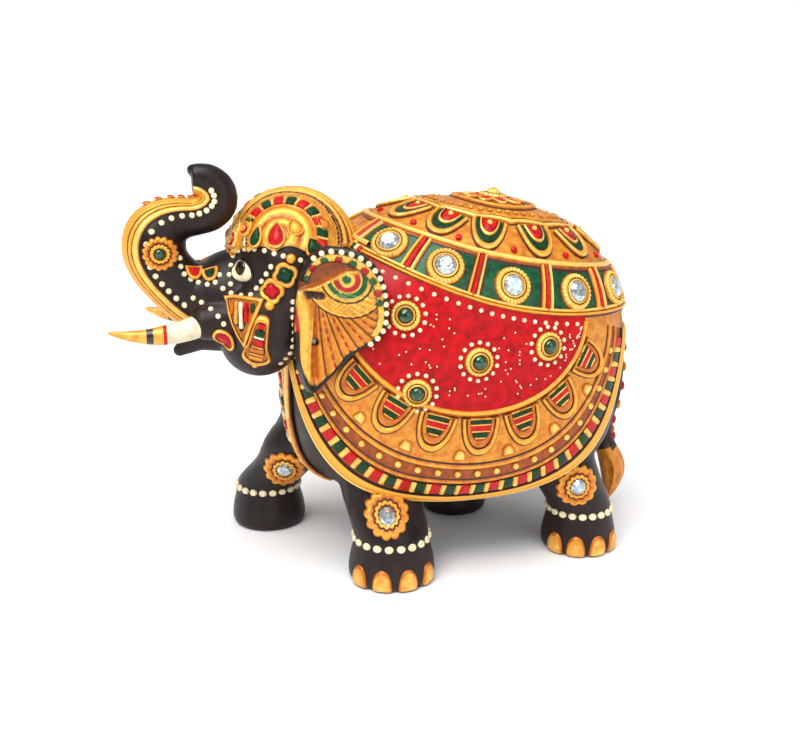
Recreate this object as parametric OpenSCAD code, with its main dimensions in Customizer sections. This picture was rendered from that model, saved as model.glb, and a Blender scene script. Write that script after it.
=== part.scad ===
// Carved and painted wooden elephant with its trunk raised, in a raised-paste cloth set with glass stones.
// It faces -Y, +Z is up, its left side is +X, and the origin is on the floor under the middle of the whole.

/* [Body] */
// Half the width of the barrel of the body
body_x = 41; // [36:1:46]
// Half the length of the barrel of the body
body_y = 59; // [54:1:62]
// Half the height of the barrel of the body
body_z = 48.5; // [44:0.5:52]
// Height of the middle of the barrel above the floor
barrel_h = 72; // [68:1:78]
// How far the middle of the barrel sits behind the origin
barrel_back = 23; // [21:1:25]
// Backward lean of the crown of the cloth, in degrees
lean = 15; // [10:1:20]

/* [Legs] */
// Distance of the front legs from the midline
front_x = 27.5; // [24:0.5:30]
// Distance of the rear legs from the midline
rear_x = 21.5; // [19:0.5:24]
// Radius of the front feet
foot_r = 14.5; // [12:0.5:16]
// Length of one stride, from a far foot to the near foot behind it
stride = 33; // [24:1:38]

/* [Head] */
// Half the width of the skull
skull_x = 25; // [22:1:28]
// Half the length of the skull
skull_y = 21; // [19:0.5:23]
// Half the height of the skull
skull_z = 27.5; // [26:0.5:30]
// Radius of the trunk at its root
trunk_r = 14.5; // [13:0.5:16]
// Thickness of an ear
ear_t = 4; // [3:0.5:5]
// Length of the left tusk outside its socket
tusk_left_l = 34; // [22:1:36]
// Length of the right tusk outside its socket
tusk_right_l = 22; // [16:1:36]

/* [Cloth] */
// Thickness of the paste ground under the cloth
ground_t = 0.8; // [0.5:0.1:1.2]
// Height of the pattern raised on the ground
relief = 1.2; // [0.8:0.1:1.6]
// Drop of the red half-moon below the green band, in degrees round the body
moon_drop = 46.5; // [42:0.5:50]
// Drop of the cloth's outer edge below the green band, in degrees round the body
edge_drop = 84; // [78:1:88]
// Panels round the green band, each with one stone
panels = 12; // [12:2:12]
// Red and green tiles along one side of the border
tiles = 38; // [24:2:44]
// Raised dots along one side of the border
border_dots = 26; // [18:1:32]
// Tongues along one side of the border
tongues = 9; // [7:1:11]

/* [Stones] */
// Diameter of a glass stone
stone_d = 6.4; // [5:0.2:7]
// Outer diameter of a stone's gold setting
setting_d = 12.2; // [10:0.2:13]
// Diameter of a piped dot of paint
dot_d = 2.4; // [1.8:0.1:2.8]

/* [Hidden] */
$fn = 32;

wood = "#33251f";
gold = "#e0912b";
red = "#c21b26";
green = "#1f7a3f";
cream = "#efe2bd";

// ---- The barrel of the body, as a closed formula ----

barrel = [0, barrel_back, barrel_h];
band_top = 42.5;
band_low = 63;
lap = 0.05;

// Unit direction at angle a round the crown axis and b down from it
function aim(a, b) = [sin(b) * cos(a),
                      cos(b) * sin(lean) + sin(b) * sin(a) * cos(lean),
                      cos(b) * cos(lean) - sin(b) * sin(a) * sin(lean)];
function power_sum(x, y, n) = pow(pow(abs(x), n) + pow(abs(y), n), 1 / n);
function ease(t) = let (k = min(max(t, 0), 1)) k * k * (3 - 2 * k);
function reach(d) = let (n = 2.2 + 2 * ease((0.25 - d[2]) / 0.9))
    1 / power_sum(power_sum(d[0] / body_x, d[1] / body_y, 2.3), d[2] / body_z, n);
// Point on the barrel, h above its surface
function skin(a, b, h = 0) = let (d = aim(a, b)) barrel + d * (reach(d) + h);
function skin_normal(a, b) =
    let (n = cross(skin(a, b + 1) - skin(a, b - 1), skin(a + 1, b) - skin(a - 1, b))) n / norm(n);

// ---- Solids made from grids of points ----

function flat(rows) = [for (row = rows) each row];
function two(a, b, c, d) = [[a, b, c], [a, c, d]];

// Solid between an upper and a lower grid of points; wrap joins the last row to the first
module slab(upper, lower, wrap = false) {
    nu = len(upper);
    nv = len(upper[0]);
    n = nu * nv;
    steps = wrap ? nu : nu - 1;
    function at(i, j) = (i % nu) * nv + j;
    skins = [for (i = [0 : steps - 1], j = [0 : nv - 2])
        each concat(two(at(i, j), at(i, j + 1), at(i + 1, j + 1), at(i + 1, j)),
                    two(n + at(i, j), n + at(i + 1, j), n + at(i + 1, j + 1), n + at(i, j + 1)))];
    rims = [for (i = [0 : steps - 1])
        each concat(two(at(i, 0), at(i + 1, 0), n + at(i + 1, 0), n + at(i, 0)),
                    two(at(i, nv - 1), n + at(i, nv - 1), n + at(i + 1, nv - 1), at(i + 1, nv - 1)))];
    ends = wrap ? [] : [for (j = [0 : nv - 2])
        each concat(two(at(0, j), n + at(0, j), n + at(0, j + 1), at(0, j + 1)),
                    two(at(nu - 1, j), at(nu - 1, j + 1), n + at(nu - 1, j + 1), n + at(nu - 1, j)))];
    polyhedron(concat(flat(upper), flat(lower)), concat(skins, rims, ends));
}

// Solid through a row of closed rings, with flat ends
module loft(rings) {
    m = len(rings[0]);
    k = len(rings);
    function at(i, j) = i * m + j % m;
    polyhedron(flat(rings), concat(
        [[for (j = [0 : m - 1]) j]],
        [[for (j = [m - 1 : -1 : 0]) at(k - 1, j)]],
        [for (i = [0 : k - 2], j = [0 : m - 1]) each two(at(i, j), at(i + 1, j), at(i + 1, j + 1), at(i, j + 1))]));
}

// Solid between an upper and a lower set of rings, each set closed by its middle point;
// the rings run from the middle outward
module pad(upper, lower, upper_mid, lower_mid) {
    m = len(upper[0]);
    rings = concat(upper, [for (i = [len(lower) - 1 : -1 : 0]) lower[i]]);
    k = len(rings);
    function at(i, j) = i * m + j % m;
    polyhedron(concat(flat(rings), [upper_mid, lower_mid]), concat(
        [for (j = [0 : m - 1]) [k * m, at(0, j + 1), at(0, j)]],
        [for (j = [0 : m - 1]) [k * m + 1, at(k - 1, j), at(k - 1, j + 1)]],
        [for (i = [0 : k - 2], j = [0 : m - 1]) each two(at(i, j), at(i, j + 1), at(i + 1, j + 1), at(i + 1, j))]));
}

// Strip of the barrel's skin: where(u, v) gives the two angles, u and v run from 0 to 1
module skin_strip(where, h0, h1, nu, nv, wrap = false, edge_h = undef) {
    last = wrap ? nu - 1 : nu;
    low_edge = is_undef(edge_h) ? h1 : edge_h;
    function put(i, j, h) = let (p = where(i / nu, j / nv)) skin(p[0], p[1], h);
    slab([for (i = [0 : last]) [for (j = [0 : nv]) put(i, j, (j == 0 || j == nv) ? low_edge : h1)]],
         [for (i = [0 : last]) [for (j = [0 : nv]) put(i, j, h0)]], wrap);
}

// Low dome that lies on the barrel, w wide and l long, in millimetres
module skin_dome(a, b, w, l, h0, h, sides = 10) {
    r = reach(aim(a, b));
    deg = 180 / PI / r;
    function place(t, k) = [a + k * w / 2 * cos(t) / sin(b) * deg, b + k * l / 2 * sin(t) * deg];
    function ring(k, lift) = [for (i = [0 : sides - 1])
        let (p = place(-360 * i / sides, k)) skin(p[0], p[1], lift)];
    pad([ring(0.7, h0 + h * 0.85), ring(1, h0 + h * 0.3)], [ring(1, h0)], skin(a, b, h0 + h), skin(a, b, h0));
}

// Sets what follows upright on a point, along a normal
module stand(p, n) {
    translate(p) rotate([0, acos(n[2] / norm(n)), atan2(n[1], n[0])]) children();
}

module on_skin(a, b, h = 0) {
    stand(skin(a, b, h), skin_normal(a, b)) children();
}

// Domed ring that holds a stone
module setting(d, bore, h) {
    rotate_extrude() polygon([[bore / 2, 0], [d / 2, 0], [d / 2 - 0.3, h * 0.5], [d / 2 - 1.2, h],
                              [bore / 2 + 0.8, h], [bore / 2, h * 0.6]]);
}

// Glass stone with a flat table
module stone(d, h) {
    rotate_extrude() polygon([[0, 0], [d / 2, 0], [d / 2, h * 0.25], [d * 0.3, h], [0, h]]);
}

module dot(d = dot_d) {
    intersection() {
        sphere(d = d);
        translate([0, 0, d / 2]) cube([d * 1.2, d * 1.2, d], center = true);
    }
}

module both_sides() {
    children();
    mirror([1, 0, 0]) children();
}

// ---- The cloth's pattern ----

// Outline k of the border at t: k = 0 is the red half-moon, k = 1 is the cloth's outer edge,
// t = 0 is its rear end and t = 180 its front end
function border(k, t) =
    let (middle = -14 + 3.5 * k, half = 52 + 22.5 * k, drop = moon_drop + (edge_drop - moon_drop) * k,
         n = 2 / (2 + 0.4 * k), c = cos(t), s = sin(t))
    [middle + half * sign(c) * pow(abs(c), n), band_low + drop * pow(abs(s), n)];

// Angle of mark i round the green band, drawn out a little at the flanks
function band_angle(a) = a + 4.5 * sin(3 * a) * cos(a);
function band_rise(a) = band_top + 6 * pow(sin(a), 2);
pitch = 360 / panels;

// ---- Legs ----

// [x, y of the foot, y of the hip, foot radius, hip radius, knee's x as a share of the foot's]
legs = [[front_x, -6.5, -12, foot_r, 14.5, 0.74], [-front_x, -6.5 - stride, -22, foot_r - 1, 14.5, 0.74],
        [rear_x, 63.5, 50, foot_r - 1.3, 17, 0.95], [-rear_x, 63.5 - stride, 42, foot_r - 1.8, 17, 0.95]];
function knee_r(l) = l[3] * (0.7 + 0.22 * l[5]);

module leg(l) {
    knee_y = l[1] * 0.6 + l[2] * 0.4;
    hull() {
        translate([l[0], l[1], 0]) cylinder(r = l[3] - 1.5, h = 1);
        translate([l[0], l[1], 2]) cylinder(r1 = l[3], r2 = l[3] - 0.8, h = 7);
    }
    hull() {
        translate([l[0], l[1], 8]) cylinder(r = l[3] - 1, h = 1);
        translate([l[0], l[1], 15]) cylinder(r = l[3] - 2, h = 1);
    }
    hull() {
        translate([l[0], l[1], 15]) cylinder(r = l[3] - 2, h = 1);
        translate([l[0] * l[5], knee_y, 28]) sphere(r = knee_r(l));
    }
    hull() {
        translate([l[0] * l[5], knee_y, 28]) sphere(r = knee_r(l));
        translate([l[0] * 0.5, l[2], 50]) sphere(r = l[4]);
    }
}

module barrel_solid(nu = 48, nv = 16) {
    loft([for (j = [0 : nv]) let (b = 1 + 178 * j / nv) [for (i = [0 : nu - 1]) skin(-360 * i / nu, b)]]);
}

// ---- Head and trunk ----

skull = [0, -32, 97];
// Trunk centre line: [y, z, radius]
trunk_line = [[-49, 92, trunk_r + 1], [-55.5, 92, trunk_r], [-61, 92.6, trunk_r - 2], [-66, 94.4, 9.6],
              [-70.6, 98.8, 8.8], [-74, 103.8, 9], [-75.3, 108.6, 9.4], [-74.2, 112.8, 9], [-71, 115.5, 7.6],
              [-67, 116.8, 6.1], [-62.5, 117.2, 5.3], [-58, 118.8, 5.7], [-55, 122.2, 5.8], [-55.4, 126.4, 5.5],
              [-58, 129, 5], [-60.8, 130, 4.4], [-63.2, 130.1, 3.9]];
trunk_steps = 2;

function bow(p0, p1, p2, p3, t) = 0.5 * (2 * p1 + (p2 - p0) * t + (2 * p0 - 5 * p1 + 4 * p2 - p3) * t * t
                                         + (3 * p1 - p0 - 3 * p2 + p3) * t * t * t);
function smooth_line(line, steps) = let (n = len(line)) concat(
    [for (i = [0 : n - 2], k = [0 : steps - 1])
        bow(line[max(i - 1, 0)], line[i], line[i + 1], line[min(i + 2, n - 1)], k / steps)], [line[n - 1]]);
trunk_path = smooth_line(trunk_line, trunk_steps);
trunk_n = len(trunk_path);

function heading(path, i) = let (d = path[min(i + 1, len(path) - 1)] - path[max(i - 1, 0)]) atan2(d[1], d[0]);
// Point on the trunk at step i, f degrees round it from its outer face, h above its surface
function trunk_at(i, f, h = 0) =
    let (q = trunk_path[i], g = heading(trunk_path, i) + 90, r = q[2] + h)
    [r * sin(f), q[0] + r * cos(f) * cos(g), q[1] + r * cos(f) * sin(g)];

function skull_power(d) = 1 / power_sum(power_sum(d[0] / skull_x, d[1] / skull_y, 2.2), d[2] / skull_z, 2.2);
// Point on the skull: a is round the vertical from the left side to the front, e is its height angle
function skull_at(a, e, h = 0) =
    let (d = [cos(e) * cos(a), -cos(e) * sin(a), sin(e)]) skull + d * (skull_power(d) + h);
function skull_normal(a, e) =
    let (n = cross(skull_at(a + 1, e) - skull_at(a - 1, e), skull_at(a, e + 1) - skull_at(a, e - 1))) -n / norm(n);

module on_skull(a, e, h = 0) {
    stand(skull_at(a, e, h), skull_normal(a, e)) children();
}

module skull_strip(where, h0, h1, nu, nv) {
    function put(i, j, h) = let (p = where(i / nu, j / nv)) skull_at(p[0], p[1], h);
    slab([for (i = [0 : nu]) [for (j = [nv : -1 : 0]) put(i, j, h1)]],
         [for (i = [0 : nu]) [for (j = [nv : -1 : 0]) put(i, j, h0)]]);
}

module skull_solid(nu = 28, nv = 12) {
    loft([for (j = [0 : nv]) [for (i = [0 : nu - 1]) skull_at(360 * i / nu, 89 - 178 * j / nv)]]);
}

// Tusk axis: out of the cheek, a little down, then forward
function tusk_axis(l, t) = [13 + 2.5 * t, -57.7 - l * t, 88.2 - 4.5 * sin(150 * t)];
tusk_root_r = 4.2;

module tusk(l, grow = 0) {
    n = 8;
    loft([for (i = [-3 : n]) let (t = i / n, c = tusk_axis(l, max(t, 0)) + [0, t < 0 ? -4 * i : 0, 0],
                                  r = (t < 0 ? 3 : tusk_root_r - 3 * pow(t, 1.6)) + grow)
          [for (j = [0 : 13]) c + [r * cos(360 * j / 14), 0, r * sin(360 * j / 14)]]]);
}

// ---- Ears ----

// Outline of the left ear as [y, z]: its top, rear edge, tip and front fold
ear_line = [[-33, 107], [-28, 111.5], [-21, 111.5], [-15, 108.5], [-11, 102.5], [-9.6, 95.5], [-10, 88],
            [-13.5, 83], [-18.5, 80.5], [-23, 76.5], [-28, 71], [-33, 66.8], [-36, 72], [-37, 84], [-36, 97]];
ear_mid = [-26, 92];
// Depth of the ear from the midline: it leaves the cheek and flares out over the shoulder
function ear_x(y, z) = 24 + 9.5 * ease((y + 37) / 25) + 4 * ease((84 - z) / 18);
function ear_ring(k) = let (n = len(ear_line))
    [for (i = [0 : n - 1], s = [0 : 1])
        let (p = bow(ear_line[(i + n - 1) % n], ear_line[i], ear_line[(i + 1) % n], ear_line[(i + 2) % n], s / 2))
        ear_mid + (p - ear_mid) * k];
function ear_point(p, h) = [ear_x(p[0], p[1]) + h, p[0], p[1]];

module ear_plate(k1, h0, h1) {
    function ring(k, h) = let (r = ear_ring(k)) [for (i = [len(r) - 1 : -1 : 0]) ear_point(r[i], h)];
    pad([ring(k1 * 0.5, h1), ring(k1 * 0.8, h1), ring(k1, h1)],
        [ring(k1 * 0.5, h0), ring(k1 * 0.8, h0), ring(k1, h0)],
        ear_point(ear_mid, h1), ear_point(ear_mid, h0));
}

// ---- Sub-parts: wood ----

module body() {
    $fn = 20;
    color(wood) difference() {
        union() {
            barrel_solid();
            difference() {
                union() for (l = legs) leg(l);
                cloth_slab(12, 0);
            }
        }
        translate([0, -29, 92]) rotate([90, 0, 0]) cylinder(d = 10, h = 30, center = true, $fn = 32);
    }
}

module head() {
    $fn = 18;
    color(wood) difference() {
        union() {
            skull_solid();
            loft([for (i = [0 : trunk_n - 1]) [for (j = [0 : 17]) trunk_at(i, 20 * j)]]);
            both_sides() {
                // cheek
                hull() {
                    translate([11, -42, 86]) sphere(r = 15);
                    translate([8, -45, 80]) sphere(r = 13);
                }
                // temple
                hull() {
                    translate([12, -36, 104]) sphere(r = 12);
                    translate([14, -33, 92]) sphere(r = 12);
                }
                // mouth corner and socket round the tusk
                hull() {
                    translate([11, -50, 87]) sphere(r = 8);
                    translate([12.5, -62, 86.5]) sphere(r = 5.4);
                }
                // nape
                hull() {
                    translate([8, -20, 97]) sphere(r = 14);
                    translate([6, -26, 90]) sphere(r = 14);
                }
            }
            // lower lip
            hull() {
                translate([0, -52, 80]) sphere(r = 7);
                translate([0, -63, 79]) sphere(r = 4.6);
            }
            hull() {
                translate([0, -63, 79]) sphere(r = 4.6);
                translate([0, -70, 75]) sphere(r = 2.2);
            }
            // upper lip of the trunk's tip
            hull() {
                translate([0, -58, 130.5]) sphere(r = 3.6);
                translate([0, -62.6, 132.2]) sphere(r = 2);
            }
        }
        barrel_solid();
        for (s = [1, -1]) translate([s * 13, -45, 88.2]) rotate([90, 0, 0]) cylinder(r = 3.05, h = 30, $fn = 28);
        translate([0, -29, 92]) rotate([90, 0, 0]) cylinder(d = 10, h = 30, center = true, $fn = 32);
    }
}

module neck_dowel() {
    color("#8a6238") translate([0, -29, 92]) rotate([90, 0, 0]) cylinder(d = 9.8, h = 29, center = true);
}

module ear_left() {
    color(wood) ear_plate(1, 0, ear_t);
}

module ear_right() {
    mirror([1, 0, 0]) ear_left();
}

module ear_pins() {
    color("#55504a") both_sides() translate([18, -30.9, 82.4]) rotate([0, 90, 0]) cylinder(d = 1.6, h = 10);
}

module tusk_left() {
    color("#efe4c4") tusk(tusk_left_l);
}

module tusk_right() {
    color("#efe4c4") mirror([1, 0, 0]) tusk(tusk_right_l);
}

// Tail centre line: [y, z, radius]
tail_line = [[76, 84, 4.2], [81.5, 76, 4], [84.2, 62, 3.7], [84.2, 48, 3.4], [82, 36, 3], [82.4, 29, 3.6],
             [86.2, 19.5, 4.8], [86.2, 12, 3.4], [85, 5.5, 0.8]];

module tail() {
    path = smooth_line(tail_line, 2);
    color(wood) loft([for (i = [0 : len(path) - 1])
        let (q = path[i], g = heading(path, i) + 90)
        [for (j = [0 : 11]) let (f = 30 * j)
            [q[2] * sin(f), q[0] + q[2] * cos(f) * cos(g), q[1] + q[2] * cos(f) * sin(g)]]]);
}

// ---- Sub-parts: cloth of raised paste ----

// Lowest angle that the cloth reaches at angle a, the same on both sides
function cloth_edge(a) =
    let (m = abs(a) > 90 ? sign(a) * 180 - a : a, u = (m + 10.5) / 74.5)
    band_low + 3 + (abs(u) < 1 ? (edge_drop - 3) * pow(1 - pow(abs(u), 2.4), 1 / 2.4) : 0);

// The cloth's area, from h0 to h1 above the barrel
module cloth_slab(h1, h0) {
    nu = 48;
    nv = 12;
    function put(i, j, h) = let (a = 180 - 360 * i / nu, b = 3 + (cloth_edge(a) - 3) * j / nv) skin(a, b, h);
    slab([for (i = [0 : nu - 1]) [for (j = [0 : nv]) put(i, j, h1)]],
         [for (i = [0 : nu - 1]) [for (j = [0 : nv]) put(i, j, h0)]], true);
}

module cloth_ground() {
    color(gold) cloth_slab(ground_t, lap);
}

module cloth_rim() {
    where = function(u, v) border(0.9 + 0.1 * v, 4 + 172 * u);
    color(gold) both_sides() skin_strip(where, ground_t, ground_t + relief + 0.6, 36, 2, false, ground_t + 0.4);
}

module border_tile(i) {
    t0 = 10 + 160 * (i + 0.12) / tiles;
    t1 = 10 + 160 * (i + 0.88) / tiles;
    where = function(u, v) border(0.73 + 0.13 * v, t0 + (t1 - t0) * u);
    skin_strip(where, ground_t, ground_t + relief * 0.6, 1, 1);
}

module border_tiles_red() {
    color(red) both_sides() for (i = [0 : 2 : tiles - 1]) border_tile(i);
}

module border_tiles_green() {
    color(green) both_sides() for (i = [1 : 2 : tiles - 1]) border_tile(i);
}

module border_dots_raised() {
    color(gold) both_sides() for (i = [0 : border_dots - 1]) {
        p = border(0.6, 14 + 152 * i / (border_dots - 1));
        on_skin(p[0], p[1], ground_t) dot(dot_d + 0.4);
    }
}

module border_tongues() {
    color(gold) both_sides() for (i = [0 : tongues - 1]) {
        p = border(0.28, 20 + 140 * i / (tongues - 1));
        skin_dome(p[0], p[1], 13, 11, ground_t, relief);
    }
}

module moon_panel_left() {
    nu = 18;
    nv = 5;
    function put(i, j, h) = let (a = border(0, 2 + 176 * i / nu),
                                 b = band_low + 0.5 + (a[1] - band_low - 0.5) * j / nv) skin(a[0], b, h);
    color(red) slab([for (i = [0 : nu]) [for (j = [0 : nv]) put(i, j, ground_t + 0.4)]],
                    [for (i = [0 : nu]) [for (j = [0 : nv]) put(i, j, ground_t)]]);
}

module moon_panel_right() {
    mirror([1, 0, 0]) moon_panel_left();
}

// Places of the four stones on the red half-moon
moon_spots = [[-41, 77], [-29.7, 104], [-8.5, 86.5], [21.3, 75]];

module moon_settings() {
    color(gold) both_sides() for (p = moon_spots)
        on_skin(p[0], p[1], ground_t + 0.3) setting(setting_d * 0.76, stone_d * 0.7, 1.6);
}

module moon_stones() {
    color("#0f4a2c") both_sides() for (p = moon_spots)
        on_skin(p[0], p[1], ground_t + 0.4) stone(stone_d * 0.68, 2.2);
}

module moon_dots() {
    color(cream) both_sides() {
        for (p = moon_spots) on_skin(p[0], p[1], ground_t + 0.4)
            for (i = [0 : 13]) rotate(360 * i / 14) translate([6.1, 0, 0]) sphere(d = 1.4);
        for (i = [0 : 15]) on_skin(-52 + 84 * i / 15, 66.5, ground_t + 0.4) dot(1.9);
    }
}

module green_band() {
    color(green) for (i = [1 : panels - 1]) {
        a0 = band_angle(pitch * (i - 0.5) - 90) + 3;
        a1 = band_angle(pitch * (i + 0.5) - 90) - 3;
        where = function(u, v) let (a = a0 + (a1 - a0) * u)
            [a, band_rise(a) + 2.5 + (17.5 - band_rise(a) + band_top) * v];
        mirrored = function(u, v) where(1 - u, v);
        skin_strip(mirrored, ground_t, ground_t + 0.4, 2, 2);
    }
}

module band_cords() {
    upper = function(u, v) let (a = -360 * u) [a, band_rise(a) + 2 * v];
    lower = function(u, v) [-360 * u, band_low - 1.5 + 2 * v];
    color(gold) skin_strip(upper, ground_t, ground_t + relief, 48, 1, true);
    color(gold) skin_strip(lower, ground_t, ground_t + relief, 48, 1, true);
}

module band_bars() {
    for (i = [0 : panels - 1], k = [-1 : 1]) {
        a = band_angle(pitch * (i + 0.5) - 90) + 2 * k;
        where = function(u, v) [a + 0.9 - 1.8 * u, band_rise(a) + 2.4 + (17.6 - band_rise(a) + band_top) * v];
        color(k == 0 ? red : gold) skin_strip(where, ground_t, ground_t + relief, 1, 2);
    }
}

module band_settings() {
    color(gold) for (i = [1 : panels - 1]) if (i != panels / 2) {
        a = band_angle(pitch * i - 90);
        on_skin(a, (band_rise(a) + band_low) / 2 + 1, ground_t + 0.3) setting(setting_d, stone_d, 1.9);
    }
}

module band_stones() {
    color("#dfe8ea") for (i = [1 : panels - 1]) if (i != panels / 2) {
        a = band_angle(pitch * i - 90);
        on_skin(a, (band_rise(a) + band_low) / 2 + 1, ground_t + 0.4) stone(stone_d - 0.2, 2.2);
    }
}

module lotus_petals() {
    color(gold) for (i = [0 : panels - 1]) {
        a = band_angle(pitch * (i + 0.5) - 90);
        skin_dome(a, 33 + 4 * pow(sin(a), 2), 11.5, 14, ground_t, relief);
    }
}

module crown_rosette() {
    color(gold) on_skin(0, 0.2, ground_t - 0.2) rotate_extrude()
        polygon([[0, 0], [8.5, 0], [7, 1.4], [3.5, 1.8], [2.6, 2.8], [1.2, 3.4], [0, 3.5]]);
    color(red) for (i = [0 : 7]) on_skin(45 * i, 11.5, ground_t) dot(3.4);
}

// ---- Sub-parts: head ornaments ----

module neck_collar() {
    where = function(u, v) [-50 - 80 * u, 60 + 6 * v];
    color(gold) skin_strip(where, ground_t, ground_t + relief + 1.4, 16, 3, false, ground_t + 1);
}

module headdress() {
    n = 36;
    function ring(e, h) = [for (i = [0 : n - 1])
        skull_at(-360 * i / n, e + (e < 40 ? 5 * abs(sin(180 * i / 4)) : 0), h)];
    color(gold) pad([ring(70, 1.4), ring(50, 1.4), ring(32, 1.2)], [ring(70, lap), ring(50, lap), ring(32, lap)],
                    skull_at(90, 90, 1.4), skull_at(90, 90, lap));
}

module headdress_blocks() {
    n = 18;
    for (i = [0 : n - 1]) {
        a0 = 180 * (i + 0.12) / n;
        a1 = 180 * (i + 0.88) / n;
        where = function(u, v) [a0 + (a1 - a0) * u, 56 + 10 * v];
        color(i % 2 == 0 ? red : green) skull_strip(where, 1.4, 2.2, 1, 1);
    }
}

module brow_drops() {
    for (i = [0 : 8]) {
        a = 10 + 20 * i;
        color(i % 2 == 0 ? red : green) on_skull(a, 40, 1.4) dot(5);
    }
}

// Strip of raised paste along the outer face of the trunk
module trunk_band() {
    first = 5;
    last = trunk_n - 1;
    faces = [54, 27, 0, -27, -54];
    color(gold) slab([for (i = [first : last]) [for (f = faces) trunk_at(i, f, 1.3)]],
                     [for (i = [first : last]) [for (f = faces) trunk_at(i, f, lap)]]);
}

trunk_mark = 11;
module trunk_setting() {
    color(gold) both_sides() stand(trunk_at(trunk_mark, 94), trunk_at(trunk_mark, 94, 5) - trunk_at(trunk_mark, 94))
        setting(10.5, stone_d * 0.55, 1.6);
}

module trunk_stone() {
    color("#0f4a2c") both_sides()
        stand(trunk_at(trunk_mark, 94), trunk_at(trunk_mark, 94, 5) - trunk_at(trunk_mark, 94)) stone(stone_d * 0.5, 2);
}

module trunk_dots() {
    color(cream) both_sides() for (i = [6 : trunk_n - 3])
        stand(trunk_at(i, 68), trunk_at(i, 68, 5) - trunk_at(i, 68)) dot(1.9);
}

module eyes() {
    color(cream) both_sides() on_skull(46, 14) sphere(d = 5.6);
    color("black") both_sides() on_skull(46, 14, 1.6) sphere(d = 3);
}

module eye_dots() {
    color(cream) both_sides() for (i = [0 : 11]) on_skull(46 + 15 * cos(30 * i), 14 + 11 * sin(30 * i)) dot(2);
}

module cheek_ornaments() {
    for (p = [[20, 17, green], [26, 4, red]]) {
        color(gold) both_sides() on_skull(p[0], p[1]) translate([0, 0, 0.6]) cube([7.5, 7.5, 1.8], center = true);
        color(p[2]) both_sides() on_skull(p[0], p[1], 1.5) dot(4);
    }
    color(gold) both_sides() for (p = [[12, 24], [36, -6]]) on_skull(p[0], p[1]) dot(4);
}

module cheek_pendants() {
    color(gold) both_sides() for (p = [[[24, -49, 86], 9], [[24.5, -41, 80], 9]])
        stand(p[0], [1, -0.35, -0.15]) cylinder(r1 = p[1] - 1.2, r2 = p[1] - 2, h = 2.2, center = true, $fn = 3);
}

module ear_relief_left() {
    color(gold) ear_plate(0.84, ear_t, ear_t + 1);
}

module ear_relief_right() {
    mirror([1, 0, 0]) ear_relief_left();
}

module ear_dots() {
    ring = ear_ring(0.92);
    color(cream) both_sides() for (i = [0 : 12]) translate(ear_point(ring[i], ear_t)) rotate([0, 90, 0]) dot(2);
}

// ---- Sub-parts: leg and tail ornaments ----

// Medallion places: [leg, turn round the leg from straight out, height]
medallions = [[0, 8, 25.5], [2, 8, 26], [1, 8, 25.5], [3, 8, 25.5], [1, 172, 25]];

module on_leg(p, h = 0) {
    l = legs[p[0]];
    flat = [sign(l[0]) * cos(p[1]), -sin(p[1]), 0];
    t = (p[2] - 15) / 13;
    middle = [l[0] * (1 - (1 - l[5]) * t), l[1] + (l[2] - l[1]) * 0.4 * t, p[2]];
    stand(middle + flat * (knee_r(l) + h), flat + [0, 0, 0.1 + 2 * (0.95 - l[5]) * cos(p[1])]) children();
}

module leg_settings() {
    color(gold) for (p = medallions) on_leg(p, 0.3) setting(15, stone_d * 0.8, 1.8);
}

module leg_stones() {
    color("#dfe8ea") for (p = medallions) on_leg(p, 0.5) stone(stone_d * 0.78, 2.2);
}

module ankle_dots() {
    color(cream) for (l = legs, i = [0 : 15]) let (f = 22.5 * i)
        stand([l[0] + (l[3] - 1.9) * cos(f), l[1] + (l[3] - 1.9) * sin(f), 14.2], [cos(f), sin(f), 0]) dot(2.8);
}

module toenails() {
    color(gold) for (k = [0, 2], i = [0 : 3]) let (l = legs[k], f = -75 + 42 * i)
        translate([l[0] + (l[3] - 1.6) * cos(f), l[1] + (l[3] - 1.6) * sin(f), 3.4]) sphere(r = 3.3);
}

module breast_strap() {
    where = function(u, v) [-103 + 12 * v + 10 * u, 66 + 84 * u];
    color(gold) both_sides() skin_strip(where, ground_t, ground_t + relief, 12, 1);
}

module rump_bumps() {
    path = smooth_line(tail_line, 2);
    for (i = [1 : 8]) color(i % 2 == 0 ? red : gold)
        translate([0, path[i][0] + path[i][2] * 0.8, path[i][1] + 0.6]) sphere(r = 2);
}

body();
head();
neck_dowel();
ear_left();
ear_right();
ear_pins();
tusk_left();
tusk_right();
tail();
cloth_ground();
cloth_rim();
border_tiles_red();
border_tiles_green();
border_dots_raised();
border_tongues();
moon_panel_left();
moon_panel_right();
moon_settings();
moon_stones();
moon_dots();
green_band();
band_cords();
band_bars();
band_settings();
band_stones();
lotus_petals();
crown_rosette();
neck_collar();
headdress();
headdress_blocks();
brow_drops();
trunk_band();
trunk_setting();
trunk_stone();
trunk_dots();
eyes();
eye_dots();
cheek_ornaments();
cheek_pendants();
ear_relief_left();
ear_relief_right();
ear_dots();
leg_settings();
leg_stones();
ankle_dots();
toenails();
breast_strap();
rump_bumps();
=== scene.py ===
"""Looks of a carved wooden elephant dressed in raised, painted paste and glass stones.

It faces -Y with +Z up, and its left side is +X. Sizes are in millimetres; finished pieces are in metres.
"""
import logging
import math
from dataclasses import dataclass
from enum import Enum
from typing import Callable, Iterable, Optional

import bmesh
import bpy
import numpy as np
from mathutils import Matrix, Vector
from mathutils.bvhtree import BVHTree


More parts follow.
